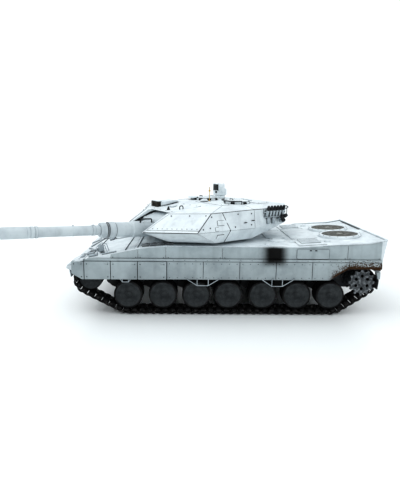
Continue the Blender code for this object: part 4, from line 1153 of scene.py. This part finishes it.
def build_turret_armour():
    """Plates over the turret's sides with gaps for the panel lines, bolts, hooks and brackets."""
    notch = lerp(RIDGE, SIDE_MID, 0.55)
    top_cut, low_cut = lerp(UPPER_OUT, SIDE_TOP, 0.24), lerp(LOWER_OUT, SIDE_LOW, 0.22)
    lip_front, lip_rear = lerp(TIP, UPPER_IN, 0.12), lerp(RIDGE, UPPER_OUT, 0.12)
    roof_cut = lerp(ROOF_FRONT, ROOF_REAR, 0.4)
    plates = [turret_skin(corners, thickness) for corners, thickness in (
        ([UPPER_IN, lip_front, lip_rear, UPPER_OUT], 0.0006),
        ([lip_front, TIP, RIDGE, lip_rear], 0.0006),
        ([TIP, LOWER_IN, LOWER_OUT, RIDGE], 0.0005),
        ([UPPER_OUT, RIDGE, notch, top_cut], 0.0008),
        ([RIDGE, LOWER_OUT, low_cut, notch], 0.0007),
        ([top_cut, notch, SIDE_MID, SIDE_TOP], 0.0008),
        ([notch, low_cut, SIDE_LOW, SIDE_MID], 0.0005),
        ([SIDE_TOP, SIDE_MID, REAR_LOW, REAR_TOP], 0.0006),
        ([UPPER_IN, UPPER_OUT, ROOF_FRONT, ROOF_IN], 0.0005),
        ([UPPER_OUT, SIDE_TOP, roof_cut, ROOF_FRONT], 0.0005),
        ([SIDE_TOP, REAR_TOP, ROOF_REAR, roof_cut], 0.0005),
    )]
    wash = [tube([to_local(corner) for corner in line], width, 6) for line, width in (
        ((top_cut, notch, low_cut), 0.001),
        ((RIDGE, UPPER_OUT), 0.00045),
        ((TIP, RIDGE), 0.0005),
        ((lip_front, lip_rear), 0.0004),
        ((UPPER_IN, UPPER_OUT), 0.00045),
        ((UPPER_OUT, SIDE_TOP, REAR_TOP), 0.0004),
        ((TIP, UPPER_IN), 0.0004),
        ((ROOF_FRONT, roof_cut), 0.0004),
    )]
    bolts, grey, dark = [], [], []
    upper = (RIDGE, SIDE_MID, SIDE_TOP, UPPER_OUT)
    for across, up in ((0.05, 0.18), (0.05, 0.82), (0.16, 0.22), (0.62, 0.16), (0.62, 0.84), (0.93, 0.2),
            (0.93, 0.8)):
        spot, normal = spot_on(upper, across, up, 0.0006)
        bolts.append(bolt(spot, normal, 0.001, 0.0009))
    wedge = (RIDGE, TIP, UPPER_IN, UPPER_OUT)
    for k in range(10):
        spot, normal = spot_on(wedge, 0.06 + 0.095 * k, 0.2, 0.0006)
        bolts.append(bolt(spot, normal, 0.0006, 0.0005))
    for across, up in ((0.08, 0.88), (0.45, 0.88), (0.88, 0.88)):
        spot, normal = spot_on(wedge, across, up, 0.0006)
        bolts.append(bolt(spot, normal, 0.0009, 0.0008))
    # Hinge brackets beside the zigzag gap
    lower = (LOWER_OUT, SIDE_LOW, SIDE_MID, RIDGE)
    for patch, across, up, small in ((upper, 0.31, 0.45, False), (upper, 0.295, 0.13, True),
            (lower, 0.28, 0.56, False)):
        spot, normal = spot_on(patch, across, up, 0.0008)
        size = (0.006, 0.005) if small else (0.012, 0.0068)
        along = (to_local(SIDE_MID) - to_local(RIDGE)).normalized()
        place = Matrix((along, normal.cross(along), normal)).transposed().to_4x4()
        pad = box((size[0], size[1], 0.0014), (0.0, 0.0, 0.0002), bevel=0.0004)
        pad.transform(Matrix.Translation(spot) @ place)
        grey.append(pad)
        rim = [(-size[0] / 2, -size[1] / 2, 0.0), (size[0] / 2, -size[1] / 2, 0.0),
            (size[0] / 2, size[1] / 2, 0.0), (-size[0] / 2, size[1] / 2, 0.0)]
        edge = tube(rim, 0.0004, 6, closed=True)
        edge.transform(Matrix.Translation(spot) @ place)
        wash.append(edge)
    # Lifting hooks
    for across, up in ((0.8, 0.34), (0.95, 0.42)):
        spot, normal = spot_on(upper, across, up, 0.0006)
        for side in (-1, 1):
            foot = spot + Vector((side * 0.0018, 0.0, 0.0))
            grey.append(bolt(foot, normal, 0.0011, 0.0008))
        arch = [spot + Vector((-0.0018, 0, 0)) + normal * h for h in (0.0002, 0.0022)]
        arch += [spot + normal * 0.0034, spot + Vector((0.0018, 0, 0)) + normal * 0.0022]
        arch.append(spot + Vector((0.0018, 0, 0)) + normal * 0.0002)
        dark.append(tube(arch, 0.0006))
    piece("turret_armour", mirrored(plates), WHITE, "turret", TURRET, "white_paint", angle=25.0)
    piece("turret_bolts", mirrored(bolts), DARK, "turret", TURRET, "dark_trim")
    piece("turret_seams", mirrored(wash), DARK, "turret", TURRET, "dark_trim")
    piece("turret_brackets", mirrored(grey), WHITE, "turret", TURRET, "white_paint")
    piece("turret_hooks", mirrored(dark), DARK, "turret", TURRET, "dark_trim")


def build_roof():
    """Periscope rings, roof seams, mast, rails and small fittings on the turret's roof."""
    white, dark, glass, bolts = [], [], [], []
    for (x, y), count in ((COMMANDER, 8), (LOADER, 6)):
        collar = HATCH_RADIUS + 0.0006
        ring = [(collar - 0.0006, ROOF_Z + 0.003), (collar + 0.0002, ROOF_Z + 0.0028),
            (collar + 0.0014, ROOF_Z + 0.0004), (collar - 0.0004, ROOF_Z - 0.001)]
        white.append(turned(ring, 56, "Z", (x, y, 0.0)))
        for angle in turns(count, 0.5):
            if abs(cos(angle) - 1.0) < 0.12:
                continue
            place = Matrix.Translation((x, y, ROOF_Z)) @ Matrix.Rotation(angle, 4, "Z")
            body = prism([(collar + 0.0002, 0.0), (collar + 0.0034, 0.0), (collar + 0.003, 0.003),
                (collar + 0.0022, 0.0036), (collar + 0.0002, 0.0036)], -0.0034, 0.0034, 0.0005)
            body.transform(place)
            dark.append(body)
            eye = box((0.0006, 0.0052, 0.0018), (collar + 0.0033, 0.0, 0.0018), bevel=0.0002)
            eye.transform(place)
            glass.append(eye)
        for angle in turns(12):
            white.append(bolt((x + (collar + 0.0008) * cos(angle), y + (collar + 0.001) * sin(angle),
                ROOF_Z + 0.0012), (0, 0, 1), 0.0006))
    # Roof plates and seams
    for x0, x1, y0, y1 in ((-0.038, -0.02, -0.056, -0.004), (-0.038, -0.02, 0.0, 0.015),
            (0.034, 0.056, -0.06, -0.01), (0.03, 0.056, -0.006, 0.03)):
        white.append(box((x1 - x0, y1 - y0, 0.001), ((x0 + x1) / 2, (y0 + y1) / 2, ROOF_Z + 0.0003),
            bevel=0.0003))
        for x in (x0 + 0.002, x1 - 0.002):
            for y in (y0 + 0.002, y1 - 0.002):
                bolts.append(bolt((x, y, ROOF_Z + 0.0008), (0, 0, 1), 0.0006))
    # Ventilator dome, small stowage lid and the raised disc ahead of the commander
    white.append(turned([(0.0, ROOF_Z + 0.0048), (0.0036, ROOF_Z + 0.0046), (0.006, ROOF_Z + 0.0034),
        (0.0066, ROOF_Z + 0.0018), (0.005, ROOF_Z + 0.0014), (0.005, ROOF_Z - 0.001), (0.0, ROOF_Z - 0.001)],
        32, "Z", (-0.028, 0.004, 0.0)))
    white.append(turned([(0.0, ROOF_Z + 0.0036), (0.007, ROOF_Z + 0.0034), (0.0078, ROOF_Z + 0.0024),
        (0.0078, ROOF_Z - 0.001), (0.0, ROOF_Z - 0.001)], 32, "Z", (0.046, -0.018, 0.0)))
    white.append(turned([(0.0, 0.1686), (0.007, 0.1684), (0.008, 0.1678), (0.0082, 0.1662), (0.0076, 0.1654),
        (0.004, 0.165), (0.0034, 0.161), (0.0, 0.161)], 36, "Z", (-0.0215, 0.0475, 0.0)))
    # A rail on three posts round the loader's hatch
    rail = [(LOADER[0] + 0.025 * cos(a), LOADER[1] + 0.025 * sin(a), ROOF_Z + 0.0052)
        for a in (pi * (0.62 + 0.76 * k / 16) for k in range(17))]
    dark.append(tube(rail, 0.0007))
    for k in (0, 8, 16):
        dark.append(tube([rail[k], (rail[k][0], rail[k][1], ROOF_Z)], 0.0007))
    # The cover over the mantlet's slot, with the dark pyramid and a hook on it
    cover = [(-0.058, 0.161), (-0.085, 0.1556), (-0.111, 0.1532), (-0.1118, 0.1518), (-0.085, 0.1538),
        (-0.058, 0.159)]
    white.append(prism(cover, -0.0316, 0.0316, 0.0004))
    for y in (-0.027, -0.009, 0.009, 0.027):
        bolts.append(bolt((-0.108, y, 0.1534), (-0.08, 0, 1), 0.0008))
        bolts.append(bolt((-0.064, y, 0.1597), (-0.2, 0, 1), 0.0008))
    dark.append(turned([(0.0, 0.16), (0.0006, 0.1598), (0.0028, 0.1552), (0.0028, 0.153), (0.0, 0.153)], 4,
        "Z", (-0.103, -0.008, 0.0)))
    hook = [(-0.09, -0.02, 0.154), (-0.09, -0.02, 0.159), (-0.0885, -0.02, 0.1606), (-0.0855, -0.02, 0.1606),
        (-0.084, -0.02, 0.159), (-0.084, -0.02, 0.155)]
    dark.append(tube(hook, 0.0008))
    white.append(box((0.01, 0.008, 0.003), (-0.082, 0.012, 0.1572), Matrix.Rotation(-0.17, 4, "Y"), 0.0006))
    piece("roof_fittings_white", white, WHITE, "turret", TURRET, "white_paint")
    piece("roof_fittings_dark", dark, DARK, "turret", TURRET, "dark_trim")
    piece("roof_periscope_glass", glass, GLASS, "turret", TURRET, "black_plastic")
    piece("roof_bolts", bolts, GREY_TRIM, "turret", TURRET, "dark_trim")
    mast = [turned([(0.0, 0.1855), (0.0005, 0.1853), (0.0006, 0.164), (0.0014, 0.1632), (0.0016, 0.16),
        (0.0, 0.16)], 16, "Z", (-0.0112, 0.0125, 0.0))]
    mast.append(turned([(0.0, 0.1812), (0.0012, 0.1808), (0.0017, 0.1796), (0.0014, 0.1782), (0.0006, 0.1776),
        (0.0, 0.1776)], 16, "Z", (-0.0112, 0.0125, 0.0)))
    piece("brass_mast", mast, BRASS, "turret", TURRET, "bare_metal")
    # Lids: raised middles, bolts, handles and hinge arms ride on the hatches
    for word, (x, y) in (("commander", COMMANDER), ("loader", LOADER)):
        top = ROOF_Z + 0.0033
        lid = [turned([(0.0, top + 0.0036), (0.007, top + 0.0035), (0.0078, top + 0.003),
            (0.0078, top + 0.002), (0.0, top + 0.002)], 32, "Z", (x, y, 0.0))]
        for angle in turns(8, 0.5):
            lid.append(bolt((x + 0.0125 * cos(angle), y + 0.0125 * sin(angle), top + 0.0024), (0, 0, 1),
                0.0007))
        for side in (-1, 1):
            lid.append(box((0.01, 0.003, 0.0016), (x + HATCH_RADIUS - 0.0035, y + side * 0.0055, top + 0.003),
                bevel=0.0005))
        piece(f"{word}_lid_detail", lid, WHITE, f"{word}_hatch", TURRET, "white_paint")
        grip = tube([(x - 0.012, y - 0.0035, top + 0.0018), (x - 0.012, y - 0.0035, top + 0.0042),
            (x - 0.012, y + 0.0035, top + 0.0042), (x - 0.012, y + 0.0035, top + 0.0018)], 0.0006)
        piece(f"{word}_lid_handle", grip, DARK, f"{word}_hatch", TURRET, "dark_trim")


def build_sights():
    """The turning sight's head with its window, and the gunner's sight with its doors."""
    x, y = SIGHT
    top, low = 0.188, 0.1676
    head = [box((0.0122, 0.0192, top - low), (x - 0.0025, y, (top + low) / 2), bevel=0.0014, segments=3)]
    head.append(box((0.009, 0.017, 0.012), (x + 0.0041, y, low + 0.006), bevel=0.0012, segments=3))
    head.append(turned([(0.0, 0.1623), (0.0094, 0.1623), (0.0096, 0.164), (0.0086, 0.165), (0.0086, 0.1672),
        (0.0074, 0.168), (0.0, 0.168)], 40, "Z", (x, y, 0.0)))
    head.append(box((0.006, 0.0016, 0.01), (x - 0.002, y - 0.0098, 0.177), bevel=0.0005))
    head.append(turned([(0.0, 0.0), (0.004, 0.0), (0.0036, 0.0012), (0.0, 0.0014)], 24, "Y",
        (x, y + 0.0094, 0.178)))
    head += [box((0.0012, 0.0176, 0.001), (x - 0.0089, y, z), bevel=0.0003) for z in (0.1874, 0.1756)]
    head += [box((0.0012, 0.001, 0.0126), (x - 0.0089, y + s * 0.0083, 0.1815), bevel=0.0003)
        for s in (-1, 1)]
    piece("sight_head", head, WHITE, "panoramic_sight", TURRET, "white_paint", ["panoramic_sight"])
    window = [box((0.0012, 0.0156, 0.0108), (x - 0.0087, y, 0.1815), bevel=0.0003)]
    window.append(box((0.0008, 0.005, 0.003), (x - 0.0088, y, 0.173), bevel=0.0003))
    piece("sight_window", window, GLASS, "panoramic_sight", TURRET, "black_plastic")
    bolts = [bolt((x + dx, y + dy, top), (0, 0, 1), 0.0006) for dx in (-0.0062, 0.0012)
        for dy in (-0.0072, 0.0072)]
    piece("sight_bolts", bolts, GREY_TRIM, "panoramic_sight", TURRET, "dark_trim")
    # Gunner's sight on the right, its doors facing forwards
    housing = prism([(-0.096, 0.1544), (-0.096, ROOF_Z + 0.0006), (-0.064, ROOF_Z + 0.002), (-0.0555, 0.1617),
        (-0.064, 0.1604)], 0.0342, 0.0558, 0.0007)
    brow = box((0.0072, 0.0236, 0.001), (-0.0945, 0.045, 0.1636), bevel=0.0004)
    piece("gunner_sight_housing", [housing, brow], WHITE, "turret", TURRET, "white_paint", ["gunner_sight"])
    doors = [box((0.0062, 0.0108, 0.0136), (-0.0952, 0.045 + s * 0.0056, 0.1563), bevel=0.0007)
        for s in (-1, 1)]
    doors.append(box((0.007, 0.0226, 0.0014), (-0.0954, 0.045, 0.1522), bevel=0.0004))
    doors += [box((0.0012, 0.0024, 0.0096), (-0.0986, 0.045 + s * 0.0034, 0.1566), bevel=0.0004)
        for s in (-1, 1)]
    doors += [box((0.0012, 0.009, 0.001), (-0.0986, 0.045 + s * 0.0056, z), bevel=0.0003) for s in (-1, 1)
        for z in (0.153, 0.1606)]
    piece("gunner_sight_doors", doors, BROWN, "turret", TURRET, "dark_trim")


def build_launchers():
    """Two rows of smoke tubes with rubber caps on a bracket behind each side."""
    plate, tubes, caps = [], [], []
    plate.append(box((0.038, 0.002, 0.016), (0.0405, 0.0885, 0.1505), bevel=0.0005))
    plate += [box((0.04, 0.006, 0.0012), (0.0405, 0.0912, z), bevel=0.0004) for z in (0.1446, 0.1518)]
    plate += [prism([(x - 0.003, 0.1436), (x + 0.003, 0.1436), (x + 0.0016, 0.133), (x - 0.0016, 0.133)],
        0.088, 0.092, 0.0004) for x in (0.029, 0.04)]
    for k in range(6):
        base = Matrix.Translation((0.0245 + 0.0064 * k, 0.0912, 0.1454)) @ Matrix.Rotation(-0.28, 4, "X")
        for group, profile in ((tubes, [(0.0, 0.0), (0.0019, 0.0), (0.0024, 0.001), (0.0024, 0.0098),
                (0.0, 0.0098)]), (caps, [(0.0, 0.0088), (0.0022, 0.0088), (0.0023, 0.014), (0.002, 0.0164),
                (0.0011, 0.0172), (0.0, 0.0172)])):
            shape = turned(profile, 20, "Z")
            shape.transform(base)
            group.append(shape)
        caps.append(bolt((0.0277 + 0.0064 * k, 0.0942, 0.1512), (0, 1, 0), 0.0007))
    for x, z in ((0.053, 0.1405), (0.059, 0.1425), (0.056, 0.136)):
        base = Matrix.Translation((x, 0.088, z)) @ Matrix.Rotation(0.3, 4, "X")
        for group, profile in ((tubes, [(0.0, 0.0), (0.0024, 0.0), (0.0024, 0.007), (0.0, 0.007)]),
                (caps, [(0.0, 0.0066), (0.003, 0.0066), (0.003, 0.0096), (0.0024, 0.0106), (0.0, 0.0106)])):
            shape = turned(profile, 20, "Y")
            shape.transform(base)
            group.append(shape)
    both_sides([
        ("launcher_bracket", plate, FITTINGS, "dark_trim", "smoke_launcher"),
        ("launcher_tubes", tubes, FITTINGS, "dark_trim", None),
        ("launcher_caps", caps, DARK, "dark_trim", None),
    ], "turret", TURRET)


def build_turret_rear():
    """Stowage boxes and rails across the back of the turret."""
    white, dark = [], []
    back = 0.1
    for y in (-0.027, 0.027):
        white.append(box((0.006, 0.048, 0.019), (back + 0.0015, y, 0.147), bevel=0.0012))
        white.append(box((0.0012, 0.044, 0.015), (back + 0.0049, y, 0.147), bevel=0.0004))
        for dy in (-0.014, 0.014):
            dark.append(box((0.0014, 0.003, 0.004), (back + 0.0057, y + dy, 0.1545), bevel=0.0004))
    for z in (0.14, 0.154):
        rail = [(0.076, -0.08, z), (0.095, -0.066, z), (back + 0.008, -0.05, z), (back + 0.008, 0.05, z),
            (0.095, 0.066, z), (0.076, 0.08, z)]
        dark.append(tube(rail, 0.0007))
    for y in (-0.05, -0.025, 0.0, 0.025, 0.05):
        dark.append(tube([(back + 0.008, y, 0.14), (back + 0.008, y, 0.154)], 0.0006))
    piece("turret_stowage", white, WHITE, "turret", TURRET, "white_paint")
    piece("turret_rails", dark, DARK, "turret", TURRET, "dark_trim")


# ---------------------------------------------------------------- gun


def hoop(inner, outer, start, width, steps):
    """A ring round the gun's line, from start towards the muzzle."""
    profile = [(inner, start), (outer, start), (outer, start - width), (inner, start - width)]
    return turned(profile, steps, "X")


def build_gun():
    """Mantlet, sleeve collars and a barrel with its evacuator, straps and muzzle collar."""
    half = 0.0292
    shapes = [turned([(0.0, -half), (0.0155, -half), (0.0164, -half + 0.001), (0.0164, half - 0.001),
        (0.0155, half), (0.0, half)], 56)]
    nose = [(-HOOD_RADIUS * cos(a), HOOD_RADIUS * sin(a)) for a in (radians(74.0 + 6.0 * k)
        for k in range(8))]
    nose += [(0.006, 0.008), (0.0, -0.011), (-0.03, -0.011), (-0.033, -0.009), (-0.0346, 0.011),
        (-0.0328, 0.015)]
    shapes.append(prism(nose, -half, half, 0.001))
    cuff, neck = SLEEVE_RADIUS + 0.0012, SLEEVE_RADIUS
    sleeve = [(0.0, -0.03), (cuff + 0.0004, -0.03), (cuff + 0.0004, -0.0348), (cuff, -0.0354), (cuff, -0.05),
        (cuff - 0.0004, -0.0504), (cuff - 0.0004, -0.0512), (cuff, -0.0516), (cuff, -0.0676),
        (cuff - 0.0006, -0.0684), (neck, -0.069), (neck, -0.0946), (neck - 0.0006, -0.095),
        (neck - 0.0006, -0.0958), (neck + 0.0008, -0.096), (neck + 0.001, -0.0964), (neck + 0.001, -0.1046),
        (neck + 0.0006, -0.1052), (neck - 0.0008, -0.1062), (0.0092, -0.1072), (0.009, -0.1086),
        (neck - 0.0002, -0.1092), (neck, -0.1096), (neck, -0.117), (neck - 0.0006, -0.1178),
        (TUBE_RADIUS + GAP, -0.118), (TUBE_RADIUS + GAP, -0.11), (0.0, -0.109)]
    shapes.append(turned(sleeve, 56, "X"))
    piece("mantlet_body", shapes, PLAIN_WHITE, "gun", GUN, "white_paint", ["mantlet"])
    detail = []
    for side in (-1, 1):
        for share in (0.12, 0.5, 0.88):
            spot = lerp((-0.007, side * 0.0255, 0.0245), (-0.0328, side * 0.0255, 0.015), share)
            detail.append(bolt(spot, (-0.345, 0.0, 0.94), 0.0009))
    port = [box((0.0016, 0.005, 0.0046), (-0.0334, -0.02, -0.0005), bevel=0.0005)]
    port.append(tube([(-0.037, -0.006, 0.01), (-0.037, -0.006, 0.0146), (-0.038, -0.006, 0.0156),
        (-0.055, -0.006, 0.0156), (-0.056, -0.006, 0.0146), (-0.056, -0.006, 0.01)], 0.001, 8))
    detail.append(hoop(neck - 0.0012, neck + 0.0006, -0.1056, 0.0007, 48))
    detail.append(hoop(0.0085, 0.0097, -0.107, 0.0014, 48))
    piece("mantlet_bolts", detail, GREY_TRIM, "gun", GUN, "dark_trim")
    piece("mantlet_dark_parts", port, DARK, "gun", GUN, "dark_trim")
    r, extra = TUBE_RADIUS, 0.008
    line = [(0.0, 0.0198), (r, 0.0198), (r, -0.1258), (r + 0.0004, -0.1262), (r + 0.0004, -0.129),
        (r, -0.1294), (r, -0.156), (r + 0.0003, -0.1563), (r + 0.0003, -0.158), (r, -0.1583), (r, -0.204),
        (extra + 0.0001, -0.2065), (extra + 0.0001, -0.2085), (extra - 0.0006, -0.2089),
        (extra - 0.0006, -0.2103), (extra, -0.2107), (extra, -0.2145), (extra - 0.0005, -0.2149),
        (extra - 0.0005, -0.2163), (extra, -0.2167), (extra, -0.2196), (extra - 0.0003, -0.22),
        (extra, -0.2212), (extra, -0.25), (extra - 0.0003, -0.253), (r, -0.256), (r - 0.0002, -0.276),
        (r + 0.0002, -0.2763), (r + 0.0002, -0.278), (r - 0.0003, -0.2783), (r - 0.0006, MUZZLE + 0.0125),
        (r - 0.0001, MUZZLE + 0.0118), (r - 0.0001, MUZZLE + 0.0006), (r - 0.0007, MUZZLE), (0.0044, MUZZLE),
        (0.004, MUZZLE + 0.0005), (0.004, MUZZLE + 0.04), (0.0, MUZZLE + 0.04)]
    piece("barrel_tube", turned(line, 48, "X"), PLAIN_WHITE, "barrel", GUN, "white_paint", ["barrel"])
    straps = []
    for x in (-0.1276, -0.1572, -0.2772):
        straps.append(box((0.0022, 0.0026, 0.0012), (x, 0.0, r + 0.0006), bevel=0.0003))
    straps.append(box((0.004, 0.004, 0.0014), (MUZZLE + 0.006, 0.0, r + 0.0003), bevel=0.0004))
    straps += [hoop(r - 0.001, r + grow, x, 0.0007, 40) for x, grow in (
        (-0.1254, 0.0002), (-0.1297, 0.0002), (-0.206, 0.001), (-0.2093, 0.0004),
        (-0.2153, 0.0005), (-0.2201, 0.0007), (-0.2566, 0.0002), (-0.2786, 0.0002))]
    piece("barrel_straps", straps, FITTINGS, "barrel", GUN, "dark_trim")
    repaint("recoil_unit", BARE)


# ---------------------------------------------------------------- whole tank and studio


def paint_frame():
    """The CAD nodes that keep their shape get their finish here."""
    repaint("upper_hull", WHITE, 0.0007)
    repaint("lower_hull", dark_plain("tub_grey", (0.1, 0.11, 0.12), (0.19, 0.2, 0.21), 0.62, dust=0.35),
        0.0006)
    repaint("turret_shell", WHITE, 0.0006)
    repaint("driver_hatch", WHITE, 0.0005)
    for node in ("commander_hatch", "loader_hatch"):
        repaint(node, WHITE)
    for node in ("fan_grille_left", "fan_grille_right"):
        repaint(node, dark_plain("fan_well", (0.12, 0.115, 0.1), (0.2, 0.192, 0.165), 0.6))
    repaint("turret_ring", BARE)
    repaint("traverse_motor", BARE, 0.0004)
    repaint("battery_pack", WRAP)
    repaint("battery_door", DARK, 0.0005)
    repaint("control_board", BOARD)
    repaint("speaker", DARK)
    repaint("smoke_generator", DARK)
    for word in ("left", "right"):
        repaint(f"gearbox_{word}", BARE)


def build_studio():
    """A pale floor with soft light from above and in front, and the camera."""
    mesh = bpy.data.meshes.new("studio_floor")
    corners = [(FLOOR_HALF * x, FLOOR_HALF * y, 0.0) for x, y in ((-1, -1), (1, -1), (1, 1), (-1, 1))]
    mesh.from_pydata(corners, [], [(0, 1, 2, 3)])
    floor = bpy.data.objects.new("studio_floor", mesh)
    bpy.context.collection.objects.link(floor)
    look = Look("studio_white", 0.32)
    look.colour(look.mix(look.noise(1.5, 2.0), (0.84, 0.865, 0.87), (0.88, 0.9, 0.905)))
    mesh.materials.append(look.material)
    world = bpy.context.scene.world or bpy.data.worlds.new("studio")
    bpy.context.scene.world = world
    world.use_nodes = True
    background = world.node_tree.nodes["Background"]
    background.inputs["Color"].default_value = WORLD_COLOUR
    background.inputs["Strength"].default_value = WORLD_STRENGTH
    light = bpy.data.lights.new("top_softbox", "AREA")
    light.energy, light.size = SOFTBOX_POWER, SOFTBOX_SIZE
    lamp = bpy.data.objects.new("top_softbox", light)
    lamp.location = SOFTBOX_PLACE
    aim = Vector(SOFTBOX_AIM) - Vector(SOFTBOX_PLACE)
    lamp.rotation_euler = aim.to_track_quat("-Z", "Y").to_euler()
    bpy.context.collection.objects.link(lamp)
    camera = bpy.data.cameras.new("camera")
    camera.sensor_width = SENSOR
    camera.lens = FOCAL_PIXELS / FRAME_HEIGHT * SENSOR
    camera.clip_start, camera.clip_end = 0.01, 50.0
    eye = bpy.data.objects.new("camera", camera)
    forward = Vector((sin(YAW) * cos(PITCH), cos(YAW) * cos(PITCH), -sin(PITCH)))
    level = Vector((cos(YAW), -sin(YAW), 0.0))
    upward = level.cross(forward)
    right = level * cos(ROLL) + upward * sin(ROLL)
    up = upward * cos(ROLL) - level * sin(ROLL)
    rotation = Matrix((right, up, -forward)).transposed()
    eye.matrix_world = Matrix.Translation(Vector(CAMERA_PLACE) + OFFSET) @ rotation.to_4x4()
    bpy.context.collection.objects.link(eye)
    bpy.context.scene.camera = eye
    bpy.context.scene.view_settings.view_transform = "Standard"
    bpy.context.scene.view_settings.look = "High Contrast"


build_tracks()
build_wheels()
build_sprockets()
build_suspension()
build_skirts()
build_hull_sides()
build_front()
build_deck()
build_rear()
build_turret_armour()
build_roof()
build_sights()
build_launchers()
build_turret_rear()
build_gun()
paint_frame()
build_studio()
